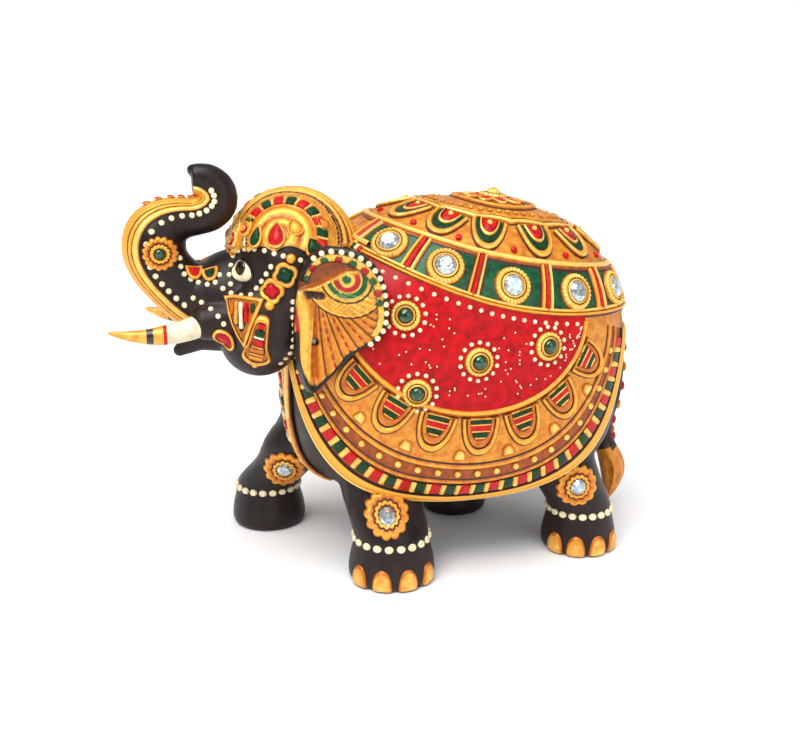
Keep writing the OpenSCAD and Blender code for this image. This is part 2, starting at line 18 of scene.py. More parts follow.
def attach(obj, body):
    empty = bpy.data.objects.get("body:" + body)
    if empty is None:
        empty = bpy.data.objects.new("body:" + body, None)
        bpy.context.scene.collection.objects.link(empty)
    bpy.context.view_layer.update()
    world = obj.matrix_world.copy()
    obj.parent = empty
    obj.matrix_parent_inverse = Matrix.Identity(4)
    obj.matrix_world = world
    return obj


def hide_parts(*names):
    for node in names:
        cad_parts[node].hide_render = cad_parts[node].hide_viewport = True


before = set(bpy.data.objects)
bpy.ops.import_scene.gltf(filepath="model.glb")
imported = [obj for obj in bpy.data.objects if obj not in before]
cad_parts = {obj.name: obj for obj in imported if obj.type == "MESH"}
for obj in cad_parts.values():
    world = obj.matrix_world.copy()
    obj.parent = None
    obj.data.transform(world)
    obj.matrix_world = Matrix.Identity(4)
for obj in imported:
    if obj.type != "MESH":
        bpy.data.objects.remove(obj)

LOG = logging.getLogger("elephant")
MM = 0.001
# foot of an ornament and underside of a strip, sunk this far into their host
SINK = 0.3
STRIP_SINK = 0.5
# heights at which the paste of an ornament and of a strip takes its full painted highlight
MOTIF_CREST = 1.9
STRIP_CREST = 1.6
BARE_WOOD = "#170e0c"
Array = np.ndarray
Colour = tuple[float, float, float, float]
# a function from local points of an ornament to points in space
Chart = Callable[[Array], Array]


# ---- Small helpers ----


def linear(hex_colour: str) -> Colour:
    """Turns an sRGB hex colour to linear light.

    Args:
        hex_colour: six hex digits, with or without a leading hash.

    Returns:
        Red, green, blue and an alpha of one.
    """
    digits = hex_colour.lstrip("#")
    values = [int(digits[i:i + 2], 16) / 255 for i in (0, 2, 4)]
    return tuple(v / 12.92 if v <= 0.04045 else ((v + 0.055) / 1.055) ** 2.4 for v in values) + (1.0,)


def add_node(tree: bpy.types.NodeTree, kind: str, settings: Optional[dict] = None,
             links: Optional[dict] = None) -> bpy.types.Node:
    """Adds a node with its settings and links.

    Args:
        tree: the node tree of the finish.
        kind: the node's type name.
        settings: values for sockets, by name or number, or for the node's own properties.
        links: for a socket's name or number, the output that feeds it.

    Returns:
        The new node.
    """
    node = tree.nodes.new(kind)
    for key, value in (settings or {}).items():
        if isinstance(key, int) or key in node.inputs:
            node.inputs[key].default_value = value
        else:
            setattr(node, key, value)
    for key, source in (links or {}).items():
        tree.links.new(source, node.inputs[key])
    return node


def set_stops(ramp: bpy.types.Node, stops: Iterable[tuple[float, str]]) -> None:
    """Gives a colour ramp its stops.

    Args:
        ramp: the colour ramp node.
        stops: pairs of a place from 0 to 1 and a hex colour.
    """
    elements = ramp.color_ramp.elements
    while len(elements) > 1:
        elements.remove(elements[-1])
    for i, (place, colour) in enumerate(stops):
        element = elements[0] if i == 0 else elements.new(place)
        element.position = place
        element.color = linear(colour)


def ease(t: Array) -> Array:
    """Smooth step from 0 to 1."""
    k = np.clip(t, 0, 1)
    return k * k * (3 - 2 * k)


def unit(v: Array) -> Array:
    """Vectors scaled to a length of one."""
    return v / np.linalg.norm(v, axis=-1, keepdims=True)


def smooth_line(line: list, steps: int, closed: bool = False) -> Array:
    """Rounds a row of points with a Catmull-Rom curve.

    Args:
        line: the points.
        steps: points made for each span.
        closed: whether the last point joins the first.

    Returns:
        The denser row of points.
    """
    p = np.array(line, float)
    n = len(p)
    spans = n if closed else n - 1
    rows = []
    for i in range(spans):
        a, b, c, d = ((p[(i + k) % n] if closed else p[min(max(i + k, 0), n - 1)]) for k in (-1, 0, 1, 2))
        for s in range(steps):
            t = s / steps
            rows.append(0.5 * (2 * b + (c - a) * t + (2 * a - 5 * b + 4 * c - d) * t * t
                + (3 * b - a - 3 * c + d) * t ** 3))
    if not closed:
        rows.append(p[-1])
    return np.array(rows)


# ---- Finishes ----


@dataclass(frozen=True)
class Finish:
    """A finish, named for what the real surface is and for the painted shade and painted highlight that some of
    them carry.
    """

    name: str
    roughness: float = 0.4
    metallic: float = 0.0
    coat: float = 0.0
    coat_roughness: float = 0.1
    specular: float = 0.5

    def make(self) -> bpy.types.Material:
        """Builds the finish as a material.

        Returns:
            The material, with its nodes.
        """
        material = bpy.data.materials.new(self.name)
        material.use_nodes = True
        tree = material.node_tree
        shader = tree.nodes["Principled BSDF"]
        shader.inputs["Roughness"].default_value = self.roughness
        shader.inputs["Metallic"].default_value = self.metallic
        shader.inputs["Coat Weight"].default_value = self.coat
        shader.inputs["Coat Roughness"].default_value = self.coat_roughness
        shader.inputs["Specular IOR Level"].default_value = self.specular
        place = add_node(tree, "ShaderNodeTexCoord").outputs["Object"]
        self.paint(tree, shader, place)
        return material

    def paint(self, tree: bpy.types.NodeTree, shader: bpy.types.Node, place: bpy.types.NodeSocket) -> None:
        """Adds the pattern of the finish; each finish has its own.

        Args:
            tree: the material's node tree.
            shader: its surface shader.
            place: the point on the piece.
        """
        raise NotImplementedError


@dataclass(frozen=True)
class LacqueredWood(Finish):
    """Carved close-grained wood, stained near black and wiped with a satin lacquer."""

    dark: str = "#0a0505"
    light: str = "#20130f"

    def paint(self, tree: bpy.types.NodeTree, shader: bpy.types.Node, place: bpy.types.NodeSocket) -> None:
        """Long grain, small pores and a worn bloom, so that the dark wood isn't a flat black.

        Args:
            tree: the material's node tree.
            shader: its surface shader.
            place: the point on the piece.
        """
        # grain lines lie 0.8 mm apart and run up the legs and along the trunk
        stretch = add_node(tree, "ShaderNodeMapping", {"Scale": (1.0, 0.55, 0.22)}, {"Vector": place})
        grain = add_node(tree, "ShaderNodeTexNoise", {"Scale": 900.0, "Detail": 5.0, "Roughness": 0.62},
            {"Vector": stretch.outputs["Vector"]})
        bloom = add_node(tree, "ShaderNodeTexNoise", {"Scale": 70.0, "Detail": 3.0}, {"Vector": place})
        both = add_node(tree, "ShaderNodeMath", {"operation": "MULTIPLY_ADD", 1: 0.55},
            {0: grain.outputs["Fac"], 2: bloom.outputs["Fac"]})
        tone = add_node(tree, "ShaderNodeValToRGB", {}, {"Fac": both.outputs["Value"]})
        set_stops(tone, [(0.45, self.dark), (0.82, self.light), (1.0, "#2f1e18")])
        tree.links.new(tone.outputs["Color"], shader.inputs["Base Color"])
        gloss = add_node(tree, "ShaderNodeMapRange", {"From Min": 0.3, "From Max": 0.7,
            "To Min": self.roughness - 0.08, "To Max": self.roughness + 0.12}, {"Value": bloom.outputs["Fac"]})
        tree.links.new(gloss.outputs["Result"], shader.inputs["Roughness"])
        bump = add_node(tree, "ShaderNodeBump", {"Strength": 0.22, "Distance": 0.0002},
            {"Height": grain.outputs["Fac"]})
        tree.links.new(bump.outputs["Normal"], shader.inputs["Normal"])


@dataclass(frozen=True)
class BronzePaint(Finish):
    """Bronze-powder paint brushed over raised paste, with painted highlight in yellow on the crests and painted
    shade in brown in the hollows.
    """

    low: str = "#7d350b"
    middle: str = "#cb7519"
    high: str = "#eda733"

    def paint(self, tree: bpy.types.NodeTree, shader: bpy.types.Node, place: bpy.types.NodeSocket) -> None:
        """Colour follows the paste's height as painted shade low down and painted highlight on top, broken by brush
        clouds; the powder gives a fine grain.

        Args:
            tree: the material's node tree.
            shader: its surface shader.
            place: the point on the piece.
        """
        # the paste's height darkens the paint in the hollows as painted shade and lightens it on the crests as
        # painted highlight
        height = add_node(tree, "ShaderNodeAttribute", {"attribute_name": "relief"})
        # brush clouds are about 2.5 mm across
        cloud = add_node(tree, "ShaderNodeTexNoise", {"Scale": 400.0, "Detail": 3.0, "Roughness": 0.55},
            {"Vector": place})
        mixed = add_node(tree, "ShaderNodeMath", {"operation": "MULTIPLY_ADD", 1: 0.75},
            {0: cloud.outputs["Fac"], 2: height.outputs["Fac"]})
        tone = add_node(tree, "ShaderNodeValToRGB", {}, {"Fac": mixed.outputs["Value"]})
        set_stops(tone, [(0.3, self.low), (0.72, self.middle), (1.0, self.high)])
        tree.links.new(tone.outputs["Color"], shader.inputs["Base Color"])
        # powder grain of 0.3 mm, coarser than the real powder so that it shows
        powder = add_node(tree, "ShaderNodeTexNoise", {"Scale": 3200.0, "Detail": 2.0}, {"Vector": place})
        gloss = add_node(tree, "ShaderNodeMapRange", {"From Min": 0.3, "From Max": 0.7,
            "To Min": self.roughness - 0.06, "To Max": self.roughness + 0.12}, {"Value": powder.outputs["Fac"]})
        tree.links.new(gloss.outputs["Result"], shader.inputs["Roughness"])
        coarse = add_node(tree, "ShaderNodeBump", {"Strength": 0.35, "Distance": 0.0003},
            {"Height": cloud.outputs["Fac"]})
        fine = add_node(tree, "ShaderNodeBump", {"Strength": 0.2, "Distance": 0.00012},
            {"Height": powder.outputs["Fac"], "Normal": coarse.outputs["Normal"]})
        tree.links.new(fine.outputs["Normal"], shader.inputs["Normal"])


@dataclass(frozen=True)
class Enamel(Finish):
    """Gloss enamel laid by brush: it pools a little darker and shows faint strokes."""

    deep: str = "#8f0d16"
    full: str = "#c8161f"
    stroke_mm: float = 1.6

    def paint(self, tree: bpy.types.NodeTree, shader: bpy.types.Node, place: bpy.types.NodeSocket) -> None:
        """Uneven coverage and a soft orange-peel skin.

        Args:
            tree: the material's node tree.
            shader: its surface shader.
            place: the point on the piece.
        """
        pool = add_node(tree, "ShaderNodeTexNoise", {"Scale": 1.0 / (self.stroke_mm * MM), "Detail": 4.0,
            "Roughness": 0.6}, {"Vector": place})
        tone = add_node(tree, "ShaderNodeValToRGB", {}, {"Fac": pool.outputs["Fac"]})
        set_stops(tone, [(0.3, self.deep), (0.62, self.full)])
        tree.links.new(tone.outputs["Color"], shader.inputs["Base Color"])
        gloss = add_node(tree, "ShaderNodeMapRange", {"From Min": 0.3, "From Max": 0.7,
            "To Min": self.roughness - 0.05, "To Max": self.roughness + 0.1}, {"Value": pool.outputs["Fac"]})
        tree.links.new(gloss.outputs["Result"], shader.inputs["Roughness"])
        bump = add_node(tree, "ShaderNodeBump", {"Strength": 0.18, "Distance": 0.0002},
            {"Height": pool.outputs["Fac"]})
        tree.links.new(bump.outputs["Normal"], shader.inputs["Normal"])


@dataclass(frozen=True)
class FoiledGlass(Finish):
    """Cut or domed glass over foil: bright broken reflections in a clear or green tint."""

    deep: str = "#9fb0b8"
    bright: str = "#f4f8fa"

    def paint(self, tree: bpy.types.NodeTree, shader: bpy.types.Node, place: bpy.types.NodeSocket) -> None:
        """Crumpled foil shows through as patches of tint.

        Args:
            tree: the material's node tree.
            shader: its surface shader.
            place: the point on the piece.
        """
        # foil creases lie about 1 mm apart
        foil = add_node(tree, "ShaderNodeTexVoronoi", {"Scale": 1000.0}, {"Vector": place})
        tone = add_node(tree, "ShaderNodeValToRGB", {}, {"Fac": foil.outputs["Distance"]})
        set_stops(tone, [(0.1, self.bright), (0.6, self.deep)])
        tree.links.new(tone.outputs["Color"], shader.inputs["Base Color"])
        bump = add_node(tree, "ShaderNodeBump", {"Strength": 0.12, "Distance": 0.0002},
            {"Height": foil.outputs["Distance"]})
        tree.links.new(bump.outputs["Normal"], shader.inputs["Normal"])


@dataclass(frozen=True)
class BrushedPaint(Finish):
    """Several paints brushed side by side over carved wood, with painted shade and painted highlight on the
    carving; the colour of each place is kept on the piece.
    """

    def paint(self, tree: bpy.types.NodeTree, shader: bpy.types.Node, place: bpy.types.NodeSocket) -> None:
        """The painted colour, lightened and darkened by brush clouds, with a powder grain.

        Args:
            tree: the material's node tree.
            shader: its surface shader.
            place: the point on the piece.
        """
        paint = add_node(tree, "ShaderNodeAttribute", {"attribute_name": "paint"})
        # brush clouds of 2 mm
        cloud = add_node(tree, "ShaderNodeTexNoise", {"Scale": 500.0, "Detail": 3.0}, {"Vector": place})
        gain = add_node(tree, "ShaderNodeMapRange", {"From Min": 0.3, "From Max": 0.7, "To Min": 0.72,
            "To Max": 1.2}, {"Value": cloud.outputs["Fac"]})
        tone = add_node(tree, "ShaderNodeMix", {"data_type": "RGBA", "blend_type": "MULTIPLY", 0: 1.0},
            {6: paint.outputs["Color"], 7: gain.outputs["Result"]})
        tree.links.new(tone.outputs[2], shader.inputs["Base Color"])
        bump = add_node(tree, "ShaderNodeBump", {"Strength": 0.3, "Distance": 0.0003},
            {"Height": cloud.outputs["Fac"]})
        tree.links.new(bump.outputs["Normal"], shader.inputs["Normal"])


class Coat(Enum):
    """The finishes on the figure."""

    WOOD = LacqueredWood("satin_lacquered_dark_wood", roughness=0.42, coat=0.06, coat_roughness=0.3, specular=0.28)
    GOLD = BronzePaint("bronze_powder_paint", roughness=0.38, metallic=0.35, coat=0.15, coat_roughness=0.3)
    UMBER = Enamel("umber_outline_enamel", roughness=0.45, deep="#1d0905", full="#3d150a", stroke_mm=0.8)
    RED = Enamel("red_gloss_enamel", roughness=0.3, coat=0.08, specular=0.2, deep="#94070d", full="#cf1218")
    SATIN_RED = Enamel("red_satin_enamel", roughness=0.38, coat=0.05, specular=0.15, deep="#8e060c",
        full="#c20c14", stroke_mm=3.0)
    GREEN = Enamel("green_gloss_enamel", roughness=0.3, coat=0.08, specular=0.2, deep="#04200f", full="#0a4020")
    BAND_GREEN = Enamel("green_metallic_enamel", roughness=0.3, metallic=0.3, coat=0.3, specular=0.3,
        deep="#033018", full="#0a5a30", stroke_mm=2.4)
    CREAM = Enamel("cream_piped_enamel", roughness=0.4, deep="#d3bf8c", full="#f3e8c8", stroke_mm=0.9)
    BLACK = Enamel("black_gloss_enamel", roughness=0.18, coat=0.6, deep="#060405", full="#120d10")
    IVORY = Enamel("ivory_enamel", roughness=0.32, coat=0.3, deep="#cdbf98", full="#e6dcc2", stroke_mm=2.5)
    # a darker copy of the bronze paint: painted shade in hollows and at the feet of ornaments, and an orange paint
    # in stripes and drops
    ORANGE = BronzePaint("orange_bronze_paint_and_painted_shade", roughness=0.42, metallic=0.3, low="#7a300c", middle="#b85e19",
        high="#d98528")
    # a lighter copy of the bronze paint: painted highlight on crests and cords, and a pale gold paint in stripes
    # and on the tusks
    PALE_GOLD = BronzePaint("pale_bronze_paint_and_painted_highlight", roughness=0.34, metallic=0.35, coat=0.15, low="#a9611a",
        middle="#df962f", high="#f8c965")
    CLEAR = FoiledGlass("clear_foiled_glass", roughness=0.06, metallic=0.75, coat=1.0, coat_roughness=0.02)
    EMERALD = FoiledGlass("green_foiled_glass", roughness=0.08, metallic=0.5, coat=1.0, coat_roughness=0.02,
        deep="#06301a", bright="#136b3c")
    PAINTED = BrushedPaint("paints_over_carving", roughness=0.4, metallic=0.3, coat=0.1)
    BARE = LacqueredWood("bare_turned_wood", roughness=0.55, dark="#7a5430", light="#a5763f")
    STEEL = Enamel("drawn_steel_wire", roughness=0.35, metallic=1.0, deep="#6b6660", full="#8e8a84")

    def material(self) -> bpy.types.Material:
        """The material of this finish, made on first use."""
        found = bpy.data.materials.get(self.value.name)
        return found or self.value.make()


# the finishes used most; PALE and ORANGE are lighter and darker copies of the gold, laid on crests as painted
# highlight and in hollows and at the feet of ornaments as painted shade, and also used as pale gold and orange
# paints in stripes, drops and tusk rings
GOLD, PALE, UMBER, ORANGE = Coat.GOLD, Coat.PALE_GOLD, Coat.UMBER, Coat.ORANGE
RED, GREEN, CREAM, BLACK, WOOD = Coat.RED, Coat.GREEN, Coat.CREAM, Coat.BLACK, Coat.WOOD


# ---- Shapes ----


@dataclass
class Shape:
    """A mesh in millimetres, with the finish of each face and the height of the paste at each point."""

    verts: Array
    faces: list
    coats: list
    relief: Array
    paint: Optional[Array] = None

    def placed(self, x: float = 0.0, y: float = 0.0, turn: float = 0.0, size: float = 1.0) -> "Shape":
        """A copy turned and moved in its own plane.

        Args:
            x: move along x.
            y: move along y.
            turn: degrees, anticlockwise.
            size: factor on the plan, not on the height.

        Returns:
            The copy.
        """
        c, s = math.cos(math.radians(turn)), math.sin(math.radians(turn))
        v = self.verts.copy()
        v[:, 0] = size * (c * self.verts[:, 0] - s * self.verts[:, 1]) + x
        v[:, 1] = size * (s * self.verts[:, 0] + c * self.verts[:, 1]) + y
        return Shape(v, self.faces, self.coats, self.relief, self.paint)

    def laid(self, chart: Chart) -> "Shape":
        """A copy bent over a host surface by a chart."""
        return Shape(chart(self.verts), self.faces, self.coats, self.relief, self.paint)

    def mirrored(self) -> "Shape":
        """A copy for the other side of the figure."""
        return Shape(self.verts * np.array([-1, 1, 1]), [f[::-1] for f in self.faces], self.coats, self.relief,
            self.paint)


def both_sides(shapes: list) -> list:
    """The shapes and their mirrored copies."""
    return shapes + [s.mirrored() for s in shapes]


def pick(obj: bpy.types.Object) -> None:
    """Makes one object the active and only selected one.

    Args:
        obj: the object.
    """
    bpy.ops.object.select_all(action="DESELECT")
    bpy.context.view_layer.objects.active = obj
    obj.select_set(True)


def start_editing(obj: bpy.types.Object) -> None:
    """Deselects everything, then edits one object with all of it selected.

    Args:
        obj: the object.
    """
    pick(obj)
    bpy.ops.object.mode_set(mode="EDIT")
    bpy.ops.mesh.select_all(action="SELECT")


def take_shape(obj: bpy.types.Object, coats: list) -> Shape:
    """Reads a modelled object as a shape and removes the object.

    Args:
        obj: the object, modelled with one unit to the millimetre.
        coats: the finish of each material number.

    Returns:
        The shape.
    """
    mesh = obj.data
    v = np.empty(len(mesh.vertices) * 3)
    mesh.vertices.foreach_get("co", v)
    v = v.reshape(-1, 3)
    shape = Shape(v, [tuple(p.vertices) for p in mesh.polygons], [coats[p.material_index] for p in mesh.polygons],
        np.clip(v[:, 2] / MOTIF_CREST, 0, 1))
    bpy.data.objects.remove(obj, do_unlink=True)
    return shape


@dataclass
class Motif:
    """A flat ornament: an outline raised and drawn in, ring by ring.

    Each ring is (factor along x, factor along y, height, finish up to the next ring), measured from the
    anchor. One factor is enough where both are the same.
    """

    outline: Array
    rings: list
    anchor: tuple = (0.0, 0.0)

    def model(self) -> Shape:
        """Models the ornament from a filled circle by extruding, scaling and raising its top face.

        Returns:
            A closed shape whose foot is a little below zero.
        """
        coats = list(dict.fromkeys(r[-1] for r in self.rings))
        bpy.ops.object.select_all(action="DESELECT")
        bpy.ops.mesh.primitive_circle_add(vertices=len(self.outline), radius=1, fill_type="NGON")
        obj = bpy.context.object
        flat = np.c_[self.outline, np.full(len(self.outline), -SINK)]
        obj.data.vertices.foreach_set("co", flat.ravel())
        for _ in coats:
            obj.data.materials.append(None)
        start_editing(obj)
        last = (1.0, 1.0, -SINK)
        for ring in self.rings:
            sx, sy, height, coat = ring if len(ring) == 4 else (ring[0], *ring)
            bpy.ops.mesh.extrude_region_move(TRANSFORM_OT_translate={"value": (0, 0, height - last[2])})
            bm = bmesh.from_edit_mesh(obj.data)
            for f in [g for e in bm.edges if e.select for g in e.link_faces if not g.select]:
                f.material_index = coats.index(coat)
            bmesh.update_edit_mesh(obj.data)
            if (sx, sy) != last[:2]:
                bpy.ops.transform.resize(value=(sx / last[0], sy / last[1], 1),
                    center_override=(self.anchor[0], self.anchor[1], height))
            last = (sx, sy, height)
        bm = bmesh.from_edit_mesh(obj.data)
        for f in bm.faces:
            if f.select:
                f.material_index = coats.index(self.rings[-1][-1])
        bmesh.update_edit_mesh(obj.data)
        bpy.ops.object.mode_set(mode="OBJECT")
        return take_shape(obj, coats)


def circle(r: float, n: int = 32, lobes: int = 0, depth: float = 0.0) -> Array:
    """Outline of a circle, scalloped if it has lobes.

    Args:
        r: radius.
        n: number of points.
        lobes: number of scallops.
        depth: depth of a scallop as a share of the radius.

    Returns:
        The points, anticlockwise.
    """
    t = np.arange(n) * 2 * np.pi / n
    k = r * (1 - depth + depth * np.abs(np.cos(lobes * t / 2))) if lobes else np.full(n, r)
    return np.c_[k * np.cos(t), k * np.sin(t)]


def tongue(width: float, length: float, n: int = 24, power: float = 2.3) -> Array:
    """Outline with a flat side on the x axis and a round end at y = length.

    Args:
        width: width of the flat side.
        length: reach of the round end.
        n: points round the arc.
        power: 2 gives half an ellipse, more gives squarer corners.

    Returns:
        The points, anticlockwise.
    """
    t = np.linspace(0, np.pi, n)
    c, s = np.cos(t), np.sin(t)
    arc = np.c_[width / 2 * np.sign(c) * np.abs(c) ** (2 / power), length * np.abs(s) ** (2 / power)]
    foot = np.c_[np.linspace(-width / 2, width / 2, 7)[1:-1], np.zeros(5)]
    return np.vstack([arc, foot])


def grid_shape(nu: int, nv: int, place: Callable[[Array, Array], Array], coat: Callable[[float, float], Coat],
               relief: Callable[[Array, Array], Array], caps: bool = False) -> Shape:
    """Models a skin from a grid whose points are moved by a formula.

    Args:
        nu: cells along u.
        nv: cells along v.
        place: gives the points, in millimetres, for u and v from 0 to 1.
        coat: gives the finish of a cell from the u and v of its middle.
        relief: gives the height of the paste from 0 to 1.
        caps: closes the ends at u = 0 and u = 1, where v goes round a closed profile.

    Returns:
        The shape.
    """
    bpy.ops.object.select_all(action="DESELECT")
    bpy.ops.mesh.primitive_grid_add(x_subdivisions=nu, y_subdivisions=nv, size=1)
    obj = bpy.context.object
    flat = take_shape(obj, [GOLD])
    u, v = flat.verts[:, 0] + 0.5, flat.verts[:, 1] + 0.5
    middles = np.array([(u[list(f)].mean(), v[list(f)].mean()) for f in flat.faces])
    coats = [coat(a, b) for a, b in middles]
    faces = list(flat.faces)
    if caps:
        for end in (0.0, 1.0):
            ring = np.where(np.abs(u - end) < 1e-5)[0]
            ring = ring[np.argsort(v[ring])][:-1]
            faces.append(tuple(int(i) for i in (ring if end else ring[::-1])))
            coats.append(coats[0])
    return Shape(place(u, v), faces, coats, np.clip(relief(u, v), 0, 1))


def profile_strip(rows: list, put: Callable[[Array, Array, Array], Array], nu: int, closed: bool = False) -> Shape:
    """A strip of paste with a profile of cords and lines across it.

    Args:
        rows: its profile as (place across, height, finish up to the next row).
        put: gives points for u along the strip, the place across it and the height.
        nu: cells along the strip.
        closed: whether the strip is a ring.

    Returns:
        The strip, closed underneath.
    """
    across = np.array([r[0] for r in rows] + [rows[-1][0], rows[0][0], rows[0][0]])
    height = np.array([r[1] for r in rows] + [-STRIP_SINK, -STRIP_SINK, rows[0][1]])
    n = len(rows) + 2
    coats = [r[2] for r in rows[:-1]] + [rows[0][2]] * 3

    def row(v: Array) -> Array:
        """Number of the profile's row at v."""
        return np.rint(v * n).astype(int)

    return grid_shape(nu, n, lambda u, v: put(u, across[row(v)], height[row(v)]), lambda u,
        v: coats[min(int(v * n), n - 1)], lambda u, v: height[row(v)] / STRIP_CREST, caps=not closed)


def cord_rows(a: float, b: float, height: float, coat: Coat, foot: float = 0.1) -> list:
    """Rows of a half-round cord from a to b across a strip, ending at its foot."""
    t = np.linspace(0, np.pi, 6)
    return [(a + (b - a) * (1 - math.cos(x)) / 2, foot + (height - foot) * math.sin(x) ** 0.8, coat) for x in t]


def make_piece(name: str, shapes: list, stands_for: Iterable[str], angle: float = 40.0,
               merge: float = 2e-3) -> bpy.types.Object:
    """Joins shapes into one finished piece that rides on the figure.

    Args:
        name: the piece's name.
        shapes: its shapes, in place.
        stands_for: the CAD nodes that it replaces.
        angle: edges sharper than this many degrees stay crisp.
        merge: points closer than this, in millimetres, are merged.

    Returns:
        The object, with its origin at the figure's origin.
    """
    coats = list(dict.fromkeys(c for s in shapes for c in s.coats))
    starts = np.cumsum([0] + [len(s.verts) for s in shapes])
    verts = np.vstack([s.verts for s in shapes]) * MM
    faces = [tuple(i + int(k) for i in f) for s, k in zip(shapes, starts) for f in s.faces]
    mesh = bpy.data.meshes.new(name)
    mesh.from_pydata(verts.tolist(), [], faces)
    for coat in coats:
        mesh.materials.append(coat.material())
    mesh.polygons.foreach_set("material_index", [coats.index(c) for s in shapes for c in s.coats])
    mesh.attributes.new("relief", "FLOAT", "POINT").data.foreach_set(
        "value", np.concatenate([s.relief for s in shapes]).astype(np.float32))
    if shapes[0].paint is not None:
        mesh.attributes.new("paint", "FLOAT_COLOR", "POINT").data.foreach_set(
            "color", np.vstack([s.paint for s in shapes]).astype(np.float32).ravel())
    obj = bpy.data.objects.new(name, mesh)
    bpy.context.scene.collection.objects.link(obj)
    start_editing(obj)
    if merge:
        bpy.ops.mesh.remove_doubles(threshold=merge * MM)
    bpy.ops.mesh.normals_make_consistent(inside=False)
    bpy.ops.object.mode_set(mode="OBJECT")
    finish_piece(obj, stands_for, angle)
    return obj


def finish_piece(obj: bpy.types.Object, stands_for: Iterable[str], angle: float) -> None:
    """Shades a piece, lets it ride on the figure and hides the CAD nodes that it replaces.

    Args:
        obj: the piece.
        stands_for: the CAD nodes that it replaces.
        angle: edges sharper than this many degrees stay crisp.
    """
    pick(obj)
    bpy.ops.object.shade_smooth_by_angle(angle=math.radians(angle))
    obj.select_set(False)
    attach(obj, "root")
    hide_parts(*stands_for)
    LOG.info("%s: %d faces", obj.name, len(obj.data.polygons))


def apply_modifier(obj: bpy.types.Object, kind: str, **settings: object) -> None:
    """Adds a modifier with its settings and applies it.

    Args:
        obj: the object.
        kind: the modifier's type.
        settings: its properties.
    """
    pick(obj)
    bpy.ops.object.modifier_add(type=kind)
    modifier = obj.modifiers[-1]
    for key, value in settings.items():
        setattr(modifier, key, value)
    bpy.ops.object.modifier_apply(modifier=modifier.name)


# ---- Hosts: the surfaces that ornaments lie on ----


@dataclass(frozen=True)
class Barrel:
    """The barrel of the body, a rounded form about a crown axis that leans back."""

    half_x: float = 41.0
    half_y: float = 59.0
    half_z: float = 48.5
    back: float = 23.0
    height: float = 72.0
    lean: float = 15.0
    # thickness of the painted ground of the cloth
    ground: float = 0.8
    # 2 gives an ellipse in plan, more gives a squarer one
    plan_power: float = 2.3

    @property
    def centre(self) -> Array:
        """Middle of the barrel."""
        return np.array([0.0, self.back, self.height])

    def aim(self, a: Array, b: Array) -> Array:
        """Directions at angle a round the crown axis and b down from it, in degrees.

        Args:
            a: angles round the crown axis.
            b: angles down from it.

        Returns:
            Unit directions.
        """
        a, b, lean = np.radians(a), np.radians(b), math.radians(self.lean)
        return np.stack([np.sin(b) * np.cos(a), np.cos(b) * math.sin(lean)
            + np.sin(b) * np.sin(a) * math.cos(lean),
            np.cos(b) * math.cos(lean) - np.sin(b) * np.sin(a) * math.sin(lean)], axis=-1)

    def reach(self, d: Array) -> Array:
        """Distance from the middle to the skin along unit directions.

        Args:
            d: the directions.

        Returns:
            The distances.
        """
        # rounder above, squarer towards the belly
        n = 2.2 + 2 * ease((0.25 - d[..., 2]) / 0.9)
        p = self.plan_power
        flat = (np.abs(d[..., 0] / self.half_x) ** p + np.abs(d[..., 1] / self.half_y) ** p) ** (1 / p)
        return 1 / (flat ** n + np.abs(d[..., 2] / self.half_z) ** n) ** (1 / n)

    def skin(self, a: Array, b: Array, h: Array = 0.0) -> Array:
        """Points h above the skin at the angles a and b."""
        d = self.aim(a, b)
        return self.centre + d * (self.reach(d) + h)[..., None]

    def place(self, points: Array) -> tuple[Array, Array, Array]:
        """Angles and height above the skin of points in space.

        Args:
            points: the points, one a row.

        Returns:
            Angle round the crown axis, angle down from it and height of each point.
        """
        way = points - self.centre
        d = unit(way)
        lean = math.radians(self.lean)
        up = d[:, 1] * math.sin(lean) + d[:, 2] * math.cos(lean)
        ahead = d[:, 1] * math.cos(lean) - d[:, 2] * math.sin(lean)
        return (np.degrees(np.arctan2(ahead, d[:, 0])), np.degrees(np.arccos(np.clip(up, -1, 1))),
                np.linalg.norm(way, axis=1) - self.reach(d))

    def normal(self, d: Array) -> Array:
        """Outward normals of the skin along unit directions d.

        Args:
            d: the directions.

        Returns:
            The normals.
        """
        side = np.where(np.abs(d[..., 2:3]) < 0.9, np.array([0.0, 0.0, 1.0]), np.array([1.0, 0.0, 0.0]))
        t1 = unit(np.cross(side, d))
        t2 = np.cross(d, t1)
        point = []
        for t in (t1, -t1, t2, -t2):
            e = unit(d + 0.01 * t)
            point.append(e * self.reach(e)[..., None])
        return unit(np.cross(point[0] - point[1], point[2] - point[3]))

    def spot(self, a: float, b: float, turn: float = 0.0, lift: float = 0.0) -> Chart:
        """Chart round one spot: local y runs down the body and local x to its right as seen from outside.

        Args:
            a: angle round the crown axis.
            b: angle down from it.
            turn: degrees, anticlockwise as seen from outside.
            lift: height above the painted ground.

        Returns:
            A function from local points to points in space.
        """
        d = self.aim(a, b)
        p = self.centre + d * self.reach(d)
        n = self.normal(d)
        down = self.skin(a, b + 0.5) - self.skin(a, b - 0.5)
        down = unit(down - n * np.dot(down, n))
        across = np.cross(down, n)
        c, s = math.cos(math.radians(turn)), math.sin(math.radians(turn))

        def chart(v: Array) -> Array:
            """Drops local points on the skin towards the middle of the barrel.

            Args:
                v: local points, one a row.

            Returns:
                Points in space.
            """
            x, y = c * v[:, 0] - s * v[:, 1], s * v[:, 0] + c * v[:, 1]
            q = p + x[:, None] * across + y[:, None] * down
            e = unit(q - self.centre)
            return self.centre + e * self.reach(e)[:, None] + self.normal(e) * (v[:, 2:3] + self.ground + lift)

        return chart


